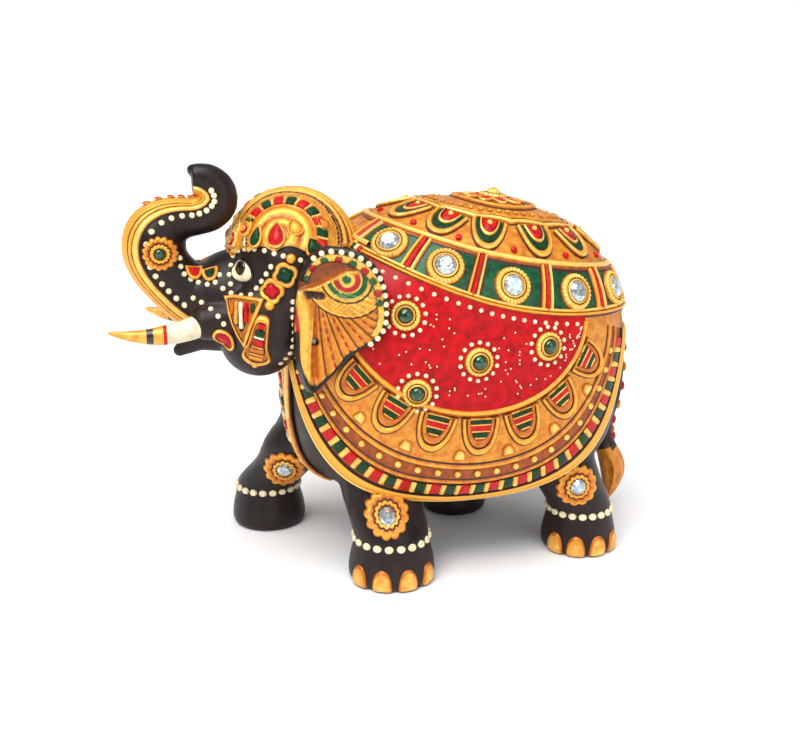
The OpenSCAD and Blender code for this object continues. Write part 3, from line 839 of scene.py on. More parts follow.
@dataclass
class Host:
    """A finished wooden piece that ornaments are pressed on."""

    tree: BVHTree

    @classmethod
    def of(cls: type["Host"], obj: bpy.types.Object) -> "Host":
        """The host for an object's mesh."""
        verts = [v.co / MM for v in obj.data.vertices]
        return cls(BVHTree.FromPolygons(verts, [tuple(p.vertices) for p in obj.data.polygons]))

    def beside(self, y: float, z: float, from_x: float = 80.0) -> tuple[Array, Array]:
        """Point of the wood seen from the left side at y and z, with the way it faces.

        Args:
            y: place along the figure.
            z: height.
            from_x: where the look starts.

        Returns:
            The point and its normal.
        """
        hit, normal, _, _ = self.tree.ray_cast(Vector((from_x, y, z)), Vector((-1, 0, 0)))
        if hit is None:
            hit, normal, _, _ = self.tree.find_nearest(Vector((10, y, z)))
        return np.array(hit), np.array(normal)

    def seen(self, y: float, z: float, towards: Iterable[float], turn: float = 0.0, lift: float = 0.0,
             level: float = 0.5) -> Chart:
        """Chart round the point of the wood seen from the left side at y and z; the rest is as for spot."""
        return self.spot(self.beside(y, z)[0], towards, turn, lift, level)

    def row(self, line: list, pitch: float, mark: Shape, lift: float = 0.0) -> list:
        """Marks set evenly along a line drawn on the left side.

        Args:
            line: places y and z along it.
            pitch: distance between marks as seen from the side.
            mark: the shape to copy.
            lift: height above the wood.

        Returns:
            The marks, in place.
        """
        path = smooth_line(line, 8)
        length = np.concatenate([[0], np.cumsum(np.linalg.norm(np.diff(path, axis=0), axis=1))])
        count = max(int(round(length[-1] / pitch)), 1)
        made = []
        for d in np.linspace(0, length[-1], count + 1):
            y, z = (float(np.interp(d, length, path[:, i])) for i in (0, 1))
            made.append(mark.laid(self.spot(*self.beside(y, z), 0, lift, 1.0)))
        return made

    def spot(self, at: Iterable[float], towards: Iterable[float], turn: float = 0.0, lift: float = 0.0,
             level: float = 0.5, down: tuple = (0.0, 0.0, -1.0)) -> Chart:
        """Chart round the spot nearest to a point, looking in from one side.

        Args:
            at: the point.
            towards: direction from the wood to the eye.
            turn: degrees, anticlockwise as seen from outside.
            lift: height above the wood.
            level: 0 follows every dip of the wood, 1 keeps the ornament's own plane.
            down: the direction that local y takes.

        Returns:
            A function from local points to points in space.
        """
        n = Vector(towards).normalized()
        start, _, _, _ = self.tree.ray_cast(Vector(at) + n * 25, -n)
        if start is None:
            start = self.tree.find_nearest(Vector(at))[0]
        axis = np.array(n)
        low = np.array(down, float)
        low = unit(low - axis * np.dot(low, axis))
        across = np.cross(low, axis)
        c, s = math.cos(math.radians(turn)), math.sin(math.radians(turn))
        base = np.array(start)

        def chart(v: Array) -> Array:
            """Presses local points on the wood along the line of sight.

            Args:
                v: local points, one a row.

            Returns:
                Points in space.
            """
            out = np.empty_like(v)
            for i, (vx, vy, vz) in enumerate(v):
                q = base + (c * vx - s * vy) * across + (s * vx + c * vy) * low
                hit, normal, _, gap = self.tree.ray_cast(Vector(q) + n * 12, -n)
                if hit is None or gap > 20:
                    hit, normal, _, _ = self.tree.find_nearest(Vector(q))
                way = unit(np.array(normal) * (1 - level) + axis * level)
                out[i] = np.array(hit) + way * (vz + lift)
            return out

        return chart


# ---- Wood ----

BARREL = Barrel()
ACROSS = np.array([1.0, 0, 0])


def tube_shape(rings: Array, coat: Coat) -> Shape:
    """Models a closed skin through rings of points.

    Args:
        rings: points as [ring][point round it][x, y, z].
        coat: its finish.

    Returns:
        The shape, with flat ends.
    """
    k, m = rings.shape[:2]

    def place(u: Array, v: Array) -> Array:
        """Point of a ring for u along the tube and v round it.

        Args:
            u: place along the tube, from 0 to 1.
            v: place round it, from 0 to 1.

        Returns:
            Points in space.
        """
        i = np.rint(u * (k - 1)).astype(int)
        j = np.rint(v * m).astype(int) % m
        return rings[i, j]

    return grid_shape(k - 1, m, place, lambda u, v: coat, lambda u, v: 0.4 + 0 * u, caps=True)


def ring_points(centre: Array, across: Array, up: Array, r: float, n: int) -> Array:
    """A ring of n points of radius r about a centre, in the plane of two unit vectors."""
    t = np.arange(n) * 2 * np.pi / n
    return centre + r * (np.cos(t)[:, None] * across + np.sin(t)[:, None] * up)


def cast_wood(name: str, shapes: list, voxel: float, smooth: int, stands_for: list) -> bpy.types.Object:
    """Joins carved masses into one skin and smooths it.

    Args:
        name: the piece's name.
        shapes: closed masses that overlap.
        voxel: size of the skin's cells in millimetres.
        smooth: rounds of smoothing.
        stands_for: the CAD nodes that it replaces.

    Returns:
        The wooden piece.
    """
    obj = make_piece(name, shapes, stands_for, angle=180, merge=1e-3)
    apply_modifier(obj, "REMESH", mode="VOXEL", voxel_size=voxel * MM, use_smooth_shade=True)
    apply_modifier(obj, "SMOOTH", factor=0.5, iterations=smooth)
    for attribute in ("relief", "paint"):
        found = obj.data.attributes.get(attribute)
        if found:
            obj.data.attributes.remove(found)
    obj.data.materials.clear()
    obj.data.materials.append(WOOD.material())
    return obj


@dataclass
class Body:
    """Barrel and legs, carved from one block."""

    # x, y of the foot, y of the hip, foot radius, hip radius, knee's x as a share of the foot's
    legs: tuple = ((27.5, -6.5, -12, 14.5, 14.5, 0.74), (-27.5, -39.5, -22, 13.5, 14.5, 0.74),
        (21.5, 63.5, 50, 13.2, 17, 0.95), (-21.5, 30.5, 42, 12.7, 17, 0.95))
    # height of the wood under the cloth, and its rise for each degree below the cloth's edge
    under_cloth: float = 0.2
    rise: float = 1.4
    obj: Optional[bpy.types.Object] = None

    def barrel_mass(self) -> Shape:
        """The barrel as a skin of rings about its crown axis."""
        a, b = np.meshgrid(np.arange(96) * 360 / 96, np.linspace(1.5, 178.5, 60))
        return tube_shape(BARREL.skin(a, b), WOOD)

    def leg_mass(self, leg: tuple) -> Shape:
        """One leg, a little waisted above its bell-shaped foot.

        Args:
            leg: its places and radii.

        Returns:
            The leg's mass.
        """
        x, foot, hip, r, top, tuck = leg
        knee, thick = foot * 0.6 + hip * 0.4, r * (0.7 + 0.22 * tuck)
        line = [(x, foot, 0.0, r - 1.2), (x, foot, 1.0, r - 0.3), (x, foot, 3.0, r), (x, foot, 7.0, r - 0.5),
            (x, foot, 10.5, r - 1.3), (x, foot, 14.0, r - 2.1), (x * (0.92 + 0.08 * tuck),
            foot * 0.95 + hip * 0.05, 17.0, r - 2.0), (x * (tuck + 0.03), knee, 26.0, thick),
            (x * tuck * 0.9, knee * 0.7 + hip * 0.3, 34.0, thick + 0.4), (x * 0.6, hip, 44.0, top - 1.0),
            (x * 0.5, hip, 54.0, top), (x * 0.4, hip, 64.0, top - 3)]
        flat, up = ACROSS, np.array([0, 1.0, 0])
        rings = np.array([ring_points(np.array(p[:3]), flat, up, p[3], 40) for p in line[:2]]
            + [ring_points(p[:3], flat, up, p[3], 40) for p in smooth_line(line[1:], 3)[1:]])
        return tube_shape(rings, WOOD)

    def build(self) -> None:
        """Casts the barrel and the four legs as one skin."""
        shapes = [self.barrel_mass()] + [self.leg_mass(leg) for leg in self.legs]
        self.obj = cast_wood("body", shapes, 1.0, 6, ["body"])
        self.tuck()

    def tuck(self) -> None:
        """Lowers wood that would stand through the cloth, and lets it rise again below the cloth's edge."""
        mesh = self.obj.data
        points = np.empty(len(mesh.vertices) * 3)
        mesh.vertices.foreach_get("co", points)
        points = points.reshape(-1, 3) / MM
        a, b, h = BARREL.place(points)
        over = b - Cloth().edge(a)
        tucked = np.minimum(h, self.under_cloth + self.rise * np.maximum(over - 1.0, 0))
        # wood 11 mm off the barrel or 8 degrees below the edge stays as carved
        share = (1 - ease((h - 6) / 5)) * (1 - ease((over - 5) / 3))
        points = np.where((share > 0)[:, None], BARREL.skin(a, b, h + (tucked - h) * share), points)
        mesh.vertices.foreach_set("co", (points * MM).ravel())
        mesh.update()


@dataclass
class Head:
    """Skull, cheeks, lips and the raised trunk."""

    skull: tuple = (0.0, -32.0, 97.0)
    half: tuple = (25.0, 21.0, 27.5)
    # y, z and radius along the trunk
    trunk: tuple = ((-49, 92, 15.5), (-55.5, 92, 14.5), (-61, 92.6, 12.5), (-66, 94.4, 9.6), (-70.6, 98.8, 8.8),
        (-74, 103.8, 9), (-75.3, 108.6, 9.4), (-74.2, 112.8, 9), (-71, 115.5, 7.6), (-67, 116.8, 6.1),
        (-62.5, 117.2, 5.3), (-58, 118.8, 5.7), (-55, 122.2, 5.8), (-55.4, 126.4, 5.5), (-58, 129, 5),
        (-60.8, 130, 4.4), (-63.2, 130.1, 3.9))
    obj: Optional[bpy.types.Object] = None
    host: Optional[Host] = None

    def skull_at(self, a: Array, e: Array, h: Array = 0.0) -> Array:
        """Points on the skull: a runs from the left side to the front, e is the height angle.

        Args:
            a: angles from the left side to the front, in degrees.
            e: height angles.
            h: height above the wood.

        Returns:
            Points in space.
        """
        a, e = np.radians(a), np.radians(e)
        d = np.stack([np.cos(e) * np.cos(a), -np.cos(e) * np.sin(a), np.sin(e)], axis=-1)
        p = [np.abs(d[..., i] / self.half[i]) ** 2.2 for i in range(3)]
        return np.array(self.skull) + d * ((p[0] + p[1] + p[2]) ** (-1 / 2.2) + h)[..., None]

    def path(self, steps: int = 4) -> Array:
        """Rounded centre line of the trunk."""
        return smooth_line(self.trunk, steps)

    def round_trunk(self, f: Array, s: Array, h: Array = 0.0) -> Array:
        """Points on the trunk: f degrees round it from its outer face, s from 0 to 1 along it, h above it.

        Args:
            f: angles round the trunk from its outer face, in degrees.
            s: places along it, from 0 to 1.
            h: height above the wood.

        Returns:
            Points in space.
        """
        line = self.path(4)
        n = len(line) - 1
        step = np.clip(s, 0, 1) * n
        i = np.minimum(step.astype(int), n - 1)
        t = (step - i)[..., None]
        q = line[i] * (1 - t) + line[i + 1] * t
        ahead = line[np.minimum(i + 1, n)] - line[np.maximum(i - 1, 0)]
        way = np.arctan2(ahead[..., 1], ahead[..., 0]) + np.pi / 2
        r = q[..., 2] + h
        f = np.radians(f)
        return np.stack([r * np.sin(f), q[..., 0] + r * np.cos(f) * np.cos(way),
            q[..., 1] + r * np.cos(f) * np.sin(way)], axis=-1)

    def blob(self, a: tuple, ra: float, b: tuple, rb: float) -> Shape:
        """A mass between two balls, for cheeks and lips.

        Args:
            a: middle of the first ball.
            ra: its radius.
            b: middle of the second ball.
            rb: its radius.

        Returns:
            The mass.
        """
        a, b = np.array(a, float), np.array(b, float)
        axis = unit(b - a)
        side = unit(np.cross(axis, [0.3, 0.2, 0.9]))
        up = np.cross(axis, side)
        rows = [(a - axis * ra * math.cos(t), ra * math.sin(t)) for t in np.linspace(0.12, math.pi / 2, 8)]
        rows += [(b + axis * rb * math.sin(t), rb * math.cos(t)) for t in np.linspace(0, math.pi / 2 - 0.12, 8)]
        return tube_shape(np.array([ring_points(c, side, up, r, 28) for c, r in rows]), WOOD)

    def build(self) -> None:
        """Casts the skull, cheeks, lips and trunk as one skin."""
        a, e = np.meshgrid(np.arange(60) * 6.0, np.linspace(88.5, -88.5, 40))
        shapes = [tube_shape(self.skull_at(a, e), WOOD)]
        s, f = np.meshgrid(np.linspace(0, 1, 90), np.arange(36) * 10.0, indexing="ij")
        shapes.append(tube_shape(self.round_trunk(f, s), WOOD))
        pairs = [((11, -42, 86), 15, (8, -45, 80), 13), ((12, -36, 104), 12, (14, -33, 92), 12),
                 ((11, -50, 87), 8, (12.5, -62, 86.5), 5.4), ((8, -20, 97), 14, (6, -26, 90), 14)]
        for pair in pairs:
            shapes += both_sides([self.blob(*pair)])
        shapes.append(self.blob((0, -52, 80), 7, (0, -63, 79), 4.6))
        shapes.append(self.blob((0, -63, 79), 4.6, (0, -70, 75), 2.2))
        shapes.append(self.blob((0, -58, 130.5), 3.6, (0, -62.6, 132.2), 2))
        self.obj = cast_wood("head_and_trunk", shapes, 0.6, 8, ["head"])
        self.host = Host.of(self.obj)


# ---- The cloth ----


@dataclass
class Cloth:
    """The raised-paste cloth: ground, crown, green band, red half-moons and border."""

    relief: float = 1.2
    band_low: float = 63.0
    moon_drop: float = 46.5
    edge_drop: float = 84.0
    panels: int = 12
    tiles: int = 38
    beads: int = 26
    tongues: int = 9
    # outlines of the border that carry the tiles and the beads
    tile_line: float = 0.795
    bead_line: float = 0.612
    # middle and half width, in degrees, of the half-moons and of the cloth's edge
    moon_middle: float = -14.0
    moon_half: float = 52.0
    edge_middle: float = -10.5
    edge_half: float = 74.5

    def band_angle(self, a: Array) -> Array:
        """Angle of a mark on the band, drawn out a little at the flanks."""
        return a + 4.5 * np.sin(np.radians(3 * a)) * np.cos(np.radians(a))

    def band_rise(self, a: Array) -> Array:
        """Angle of the band's upper edge."""
        return 42.5 + 6 * np.sin(np.radians(a)) ** 2

    def edge(self, a: Array) -> Array:
        """Lowest angle of the cloth, the same on both sides.

        Args:
            a: angles round the crown axis.

        Returns:
            Angles down from the crown axis.
        """
        a = (a + 180) % 360 - 180
        m = np.where(np.abs(a) > 90, np.sign(a) * 180 - a, a)
        u = np.clip(np.abs((m - self.edge_middle) / self.edge_half), 0, 1)
        return self.band_low + 3 + (self.edge_drop - 3) * (1 - u ** 2.4) ** (1 / 2.4)

    def border(self, k: Array, t: Array) -> tuple[Array, Array]:
        """Angles of outline k of the border at t, from its rear end at 0 to its front end at 180.

        Args:
            k: place across the border, 0 at the half-moon and 1 at the rim.
            t: place along it, in degrees.

        Returns:
            Angles round the crown axis and down from it.
        """
        k, t = np.broadcast_arrays(np.asarray(k, float), np.asarray(t, float))
        c, s = np.cos(np.radians(t)), np.sin(np.radians(t))
        n = 2 / (2 + 0.4 * k)
        middle = self.moon_middle + (self.edge_middle - self.moon_middle) * k
        half = self.moon_half + (self.edge_half - self.moon_half) * k
        return (middle + half * np.sign(c) * np.abs(c) ** n,
                self.band_low + (self.moon_drop + (self.edge_drop - self.moon_drop) * k) * np.abs(s) ** n)

    def strip(self, rows: list, angles: Callable[[Array, Array], tuple[Array, Array]], nu: int,
              closed: bool = False) -> Shape:
        """A strip of the cloth with a profile of cords and lines.

        Args:
            rows: its profile as (place across, height above the ground, finish up to the next row).
            angles: gives a and b for u along the strip and the place across it.
            nu: cells along the strip.
            closed: whether the strip is a ring.

        Returns:
            The strip, closed underneath.
        """
        return profile_strip(rows, lambda u, k, h: BARREL.skin(*angles(u, k), h + BARREL.ground), nu, closed)

    def along_edge(self, rear: float = 3.0, front: float = 177.0) -> Callable:
        """Angles along the border, for strips whose place across is k."""
        return lambda u, k: self.border(k, rear + (front - rear) * u)

    def build_ground(self) -> None:
        """The paste ground under everything, rounded down to the wood at its edge."""
        def place(u: Array, v: Array) -> Array:
            """Upper skin for v up to 0.5, then the lower skin back to the crown.

            Args:
                u: place along the skin, from 0 to 1.
                v: place round it, from 0 to 1.

            Returns:
                Points in space.
            """
            a = -360 * u
            w = np.where(v <= 0.5, v * 2, 2 - v * 2)
            b = w * (self.edge(a) - 0.3)
            h = np.where(v <= 0.5, np.where(w > 0.99, 0.2, BARREL.ground), -0.4)
            return BARREL.skin(a, b, h)

        shape = grid_shape(144, 80, place, lambda u, v: GOLD, lambda u, v: 0.42 + 0 * u)
        make_piece("cloth_ground", [shape], ["cloth_ground"])

    def build_border(self) -> None:
        """Cords, drawn lines and rim of the border, then its tiles, beads and tongues."""
        # orange between the cords, in the tile field and in the rim's groove is painted shade, and pale gold on the
        # rim's outer lip is a painted highlight
        inner = ([(-0.045, 0.15, UMBER)] + cord_rows(-0.034, 0.012, 1.1, GOLD, 0.25)
                 + [(0.013, 0.5, ORANGE), (0.036, 0.3, UMBER), (0.05, 0.06, UMBER)])
        middle = ([(0.50, 0.06, UMBER)] + cord_rows(0.513, 0.548, 0.9, GOLD, 0.2) + [(0.549, 0.15, UMBER),
                  (0.562, 0.14, ORANGE), (0.60, 0.2, ORANGE), (0.66, 0.14, UMBER), (0.674, 0.15, UMBER)]
                  + cord_rows(0.675, 0.706, 0.7, GOLD, 0.2) + [(0.707, 0.15, UMBER), (0.72, 0.1, UMBER)])
        rim = ([(0.715, 0.1, UMBER), (0.722, 0.15, ORANGE), (0.868, 0.15, UMBER), (0.880, 0.2, UMBER),
            (0.881, 1.0, GOLD), (0.90, 1.45, GOLD), (0.925, 1.55, GOLD), (0.948, 1.35, ORANGE),
            (0.956, 0.95, ORANGE), (0.964, 1.3, PALE), (0.98, 1.45, PALE), (0.992, 1.1, GOLD), (1.0, 0.4, GOLD),
            (1.003, -0.3, GOLD)])
        strips = [self.strip(rows, self.along_edge(), 150) for rows in (inner, middle, rim)]
        make_piece("cloth_border_cords", both_sides(strips), ["cloth_rim"], angle=35)
        tile = {c: Motif(rounded_box(3.0, 4.4, 0.3), [(1, 0.45, c), (0.94, 0.95, 0.72, c),
            (0.55, 0.6, 0.85, c)]).model() for c in (RED, GREEN)}
        bar = Motif(rounded_box(1.9, 4.6, 0.3), [(1, 0.6, UMBER), (0.9, 0.96, 0.7, PALE),
            (0.5, 0.85, 1.05, PALE)]).model()
        marks = self.even_marks(self.tile_line, 2 * self.tiles, 6, 174)
        charts = [self.edge_spot(self.tile_line, t) for t in marks]
        make_piece("border_bars", both_sides([bar.laid(c) for c in charts[1::2]]), ["cloth_rim"],
            angle=50)
        make_piece("border_tiles_red", both_sides([tile[RED].laid(c) for c in charts[::4]]),
                   ["border_tiles_red"], angle=50)
        make_piece("border_tiles_green", both_sides([tile[GREEN].laid(c) for c in charts[2::4]]),
                   ["border_tiles_green"], angle=50)
        self.build_beads()
        self.build_tongues()

    def edge_spot(self, k: float, t: float, lift: float = 0.0) -> Chart:
        """Chart on the border with local y pointing outward across it.

        Args:
            k: place across the border.
            t: place along it.
            lift: height above the painted ground.

        Returns:
            A function from local points to points in space.
        """
        a, b = (float(x) for x in self.border(k, t))
        p = BARREL.skin(a, b)
        q = BARREL.skin(*(float(x) for x in self.border(k + 0.05, t)))
        r = BARREL.skin(*(float(x) for x in self.border(k, t + 2)))
        n = BARREL.normal(BARREL.aim(a, b))
        along = unit(r - p)
        out = np.cross(n, along)
        out = out if np.dot(out, q - p) > 0 else -out
        down = BARREL.skin(a, b + 0.5) - BARREL.skin(a, b - 0.5)
        down = unit(down - n * np.dot(down, n))
        across = np.cross(down, n)
        turn = math.degrees(math.atan2(-np.dot(out, across), np.dot(out, down)))
        return BARREL.spot(a, b, turn, lift)

    def even_marks(self, k: float, count: int, rear: float, front: float) -> list:
        """Values of t that lie the same distance apart along outline k.

        Args:
            k: place across the border.
            count: number of marks.
            rear: t of the first mark.
            front: t of the last mark.

        Returns:
            The values of t.
        """
        t = np.linspace(rear, front, 400)
        p = BARREL.skin(*self.border(k, t))
        length = np.concatenate([[0], np.cumsum(np.linalg.norm(np.diff(p, axis=0), axis=1))])
        return list(np.interp(np.linspace(0, length[-1], count), length, t))

    def build_beads(self) -> None:
        """The row of raised gold beads."""
        bead = bead_motif(1.15, 1.25, PALE)
        shapes = [bead.laid(self.edge_spot(self.bead_line, t)) for t in self.even_marks(self.bead_line,
            self.beads, 9, 171)]
        make_piece("border_beads", both_sides(shapes), ["border_dots_raised"])

    def build_tongues(self) -> None:
        """Tongues with nested gold rims round red and green bars, and a stud between each two."""
        flat = tongue(12.6, 13.2)
        rim = Motif(flat, [(1, 0.2, UMBER), (0.95, 0.96, 0.22, UMBER), (0.945, 0.955, 0.7, GOLD),
            (0.90, 0.92, 1.15, PALE), (0.83, 0.85, 1.15, GOLD), (0.77, 0.8, 0.7, GOLD),
            (0.765, 0.795, 0.35, UMBER), (0.72, 0.755, 0.35, UMBER), (0.715, 0.75, 0.6, GOLD),
            (0.68, 0.71, 0.85, GOLD), (0.56, 0.6, 0.75, ORANGE), (0.53, 0.57, 0.35, ORANGE)]).model()
        shapes = [rim]
        for y, width, depth, coat in ((1.0, 6.6, 1.3, GREEN), (3.05, 6.4, 1.7, RED), (5.35, 4.6, 1.7, GREEN)):
            bar = Motif(rounded_box(width, depth, 0.3), [(1, 0.7, coat), (0.95, 0.85, 0.85, coat),
                (0.5, 0.4, 0.9, coat)])
            shapes.append(bar.model().placed(0, y + 0.2))
        for y, width in ((0.1, 6.8), (2.05, 6.8), (4.25, 5.9), (6.5, 3.4)):
            line = Motif(rounded_box(width, 0.5, 0.15), [(1, 0.75, PALE), (0.9, 0.5, 0.95, PALE)])
            shapes.append(line.model().placed(0, y + 0.1))
        stud = Motif(tongue(4.2, 3.6, 12), [(1, 0.3, GOLD), (0.8, 0.6, GOLD), (0.5, 0.55, 1.1, PALE),
            (0.2, 0.3, 1.25, PALE)], anchor=(0, 1.6)).model().placed(0, 1.8, 180)
        marks = self.even_marks(0.05, self.tongues, 17, 163)
        placed = [s.laid(self.edge_spot(0.055, t)) for t in marks for s in shapes]
        between = self.even_marks(0.42, self.tongues, 15, 165)
        placed += [stud.laid(self.edge_spot(0.43, (t0 + t1) / 2)) for t0, t1 in zip(between, between[1:])]
        make_piece("border_tongues", both_sides(placed), ["border_tongues"], angle=35)

    def build_moons(self) -> None:
        """Red half-moon panels with their stones, dots and sprinkled points."""
        def place(u: Array, v: Array) -> Array:
            """A low cushion of enamel from the band down to the border.

            Args:
                u: place along the skin, from 0 to 1.
                v: place round it, from 0 to 1.

            Returns:
                Points in space.
            """
            w = np.clip(np.where(v <= 0.5, v * 2, 2 - v * 2), 0, 1)
            a, low = self.border(-0.012, 1.5 + 177 * u)
            b = self.band_low + 0.4 + (low - self.band_low - 0.4) * w
            return BARREL.skin(a, b, BARREL.ground + np.where(v <= 0.5, 0.3, -0.3))

        left = grid_shape(72, 40, place, lambda u, v: Coat.SATIN_RED, lambda u, v: 0.5 + 0 * u)
        make_piece("moon_panel_left", [left], ["moon_panel_left"])
        make_piece("moon_panel_right", [left.mirrored()], ["moon_panel_right"])
        ring = setting_motif(4.7, 2.35, 20)
        gem = Motif(circle(2.3, 20), [(1, 1.0, Coat.EMERALD), (0.92, 1.7, Coat.EMERALD),
            (0.72, 2.3, Coat.EMERALD), (0.4, 2.65, Coat.EMERALD), (0.15, 2.75, Coat.EMERALD)]).model()
        dot = bead_motif(0.72, 0.5, CREAM, sides=8)
        speck = bead_motif(0.32, 0.22, CREAM, sides=5)
        spots = ((-41, 77), (-29.7, 104), (-8.5, 86.5), (21.3, 75))
        charts = [BARREL.spot(a, b, 0, 0.25) for a, b in spots]
        make_piece("moon_settings", both_sides([ring.laid(c) for c in charts]), ["moon_settings"])
        make_piece("moon_stones", both_sides([gem.laid(c) for c in charts]), ["moon_stones"])
        dots = [dot.placed(6.0 * math.cos(t), 6.0 * math.sin(t)).laid(c) for c in charts
                for t in np.arange(14) * 2 * np.pi / 14]
        dots += [dot.laid(BARREL.spot(a, 66.0, 0, 0.25)) for a in np.linspace(-60, 34, 19)]
        rng = np.random.default_rng(7)
        places = np.array([BARREL.skin(float(a), float(b)) for a, b in spots])
        while len(dots) < 14 * 4 + 19 + 120:
            t, w = rng.uniform(6, 174), rng.uniform(0.12, 0.95)
            a, low = (float(x) for x in self.border(-0.05, t))
            b = self.band_low + 4 + (low - self.band_low - 5) * w
            p = BARREL.skin(a, b)
            if b > self.band_low + 3.5 and np.linalg.norm(places - p, axis=1).min() > 7.4:
                dots.append(speck.laid(BARREL.spot(a, b, 0, 0.25)))
        make_piece("moon_dots", both_sides(dots), ["moon_dots"])

    def build_band(self) -> None:
        """The green band with its cords, bars and set stones."""
        pitch = 360 / self.panels

        def cell(i: int) -> Shape:
            """One green panel, edged with a drawn line.

            Args:
                i: its number round the band.

            Returns:
                The panel.
            """
            a0, a1 = (float(self.band_angle(pitch * (i + e) - 90)) for e in (-0.5, 0.5))

            def place(u: Array, v: Array) -> Array:
                """A cushion of enamel; the lower half of v is its underside.

                Args:
                    u: place along the skin, from 0 to 1.
                    v: place round it, from 0 to 1.

                Returns:
                    Points in space.
                """
                w = np.clip(np.where(v <= 0.5, v * 2, 2 - v * 2), 0, 1)
                a = a1 - 2.6 + (a0 - a1 + 5.2) * u
                b = self.band_rise(a) + 1.6 + (60.6 - self.band_rise(a)) * w
                swell = 0.25 * np.sin(np.pi * np.clip(u, 0, 1)) * np.sin(np.pi * w)
                return BARREL.skin(a, b, BARREL.ground + np.where(v <= 0.5, 0.2 + swell, -0.3))

            def coat(u: float, v: float) -> Coat:
                """Dark line round the edge, green inside."""
                w = v * 2 if v < 0.5 else 2 - v * 2
                return UMBER if min(u, 1 - u) < 0.045 or min(w, 1 - w) < 0.09 else Coat.BAND_GREEN

            return grid_shape(24, 24, place, coat, lambda u, v: 0.5 + 0 * u)

        make_piece("green_band", [cell(i) for i in range(1, self.panels)], ["green_band"])
        upper = ([(-1.2, 0.1, UMBER)] + cord_rows(-0.9, 1.1, 1.3, PALE, 0.2)
            + [(1.3, 0.3, ORANGE), (1.9, 0.25, UMBER), (2.2, 0.05, UMBER)])
        lower = ([(-2.2, 0.1, UMBER)] + cord_rows(-1.9, -0.7, 1.2, PALE, 0.3) + [(-0.6, 0.5, ORANGE)]
                 + cord_rows(-0.5, 0.6, 1.2, GOLD, 0.3) + [(0.7, 0.35, UMBER), (1.3, 0.05, UMBER)])
        rings = [self.strip(upper, lambda u, k: (-360 * u, self.band_rise(-360 * u) + k), 180, closed=True),
                 self.strip(lower, lambda u, k: (-360 * u, self.band_low - 0.4 + k), 180, closed=True)]
        make_piece("band_cords", rings, ["band_cords"], angle=35)
        bars = []
        for i in range(self.panels):
            a = float(self.band_angle(pitch * (i + 0.5) - 90))
            rise = float(self.band_rise(a))
            rows = ([(3.1, 0.1, UMBER)] + cord_rows(2.8, 1.35, 1.2, PALE, 0.3) + [(1.3, 0.35, UMBER)]
                    + cord_rows(1.0, -1.0, 1.25, RED, 0.3) + [(-1.05, 0.35, UMBER)]
                    + cord_rows(-1.35, -2.8, 1.2, GOLD, 0.3) + [(-2.85, 0.3, UMBER), (-3.1, 0.1, UMBER)])
            bars.append(self.strip(rows, lambda u, k, a=a, r=rise: (a + k, r + 1.2 + (60.4 - r) * u), 8))
        make_piece("band_bars", bars, ["band_bars"], angle=35)
        ring = setting_motif(6.1, 3.2, 26)
        gem = cut_stone(3.2)
        spots = []
        for i in range(1, self.panels):
            if i != self.panels // 2:
                a = float(self.band_angle(pitch * i - 90))
                spots.append(BARREL.spot(a, (float(self.band_rise(a)) + self.band_low) / 2 + 0.6, 7.0 * i, 0.2))
        make_piece("band_settings", [ring.laid(c) for c in spots], ["band_settings"])
        make_piece("band_stones", [gem.laid(c) for c in spots], ["band_stones"], angle=12)

    def build_crown(self) -> None:
        """Lotus petals round the crown, ridges and the rosette on top."""
        petal = Motif(tongue(11.8, 12.6), [(1, 0.2, UMBER), (0.95, 0.96, 0.25, UMBER), (0.945, 0.95, 0.8, GOLD),
            (0.88, 0.9, 1.25, PALE), (0.78, 0.82, 1.1, GOLD), (0.74, 0.78, 0.6, GOLD),
            (0.735, 0.775, 0.55, GREEN), (0.6, 0.62, 0.75, GREEN), (0.53, 0.54, 0.55, GREEN),
            (0.525, 0.535, 0.9, PALE), (0.45, 0.47, 1.1, PALE), (0.4, 0.43, 0.7, UMBER), (0.39, 0.42, 0.6, RED),
            (0.33, 0.37, 0.95, RED), (0.1, 0.12, 1.05, RED)]).model()
        stud = bead_motif(1.0, 1.5, PALE)
        berry = bead_motif(1.1, 1.0, RED)
        shapes = []
        for i in range(self.panels):
            for half in (0.5, 0.0):
                a = float(self.band_angle(360 / self.panels * (i + half) - 90))
                rise = float(self.band_rise(a))
                if half:
                    shapes.append(petal.laid(BARREL.spot(a, rise - 16.0)))
                    shapes.append(stud.placed(0, 1.5).laid(BARREL.spot(a, rise - 16.0, 0, 0.2)))
                else:
                    shapes.append(berry.laid(BARREL.spot(a, rise - 3.8)))
        make_piece("lotus_petals", shapes, ["lotus_petals"], angle=35)

        def wave(u: Array, k: Array) -> tuple[Array, Array]:
            """Angles of the scalloped ridge inside the petals."""
            scallop = 0.9 * np.abs(np.sin(np.pi * self.panels * u))
            return -360 * u, self.band_rise(-360 * u) - 17.2 + k - scallop

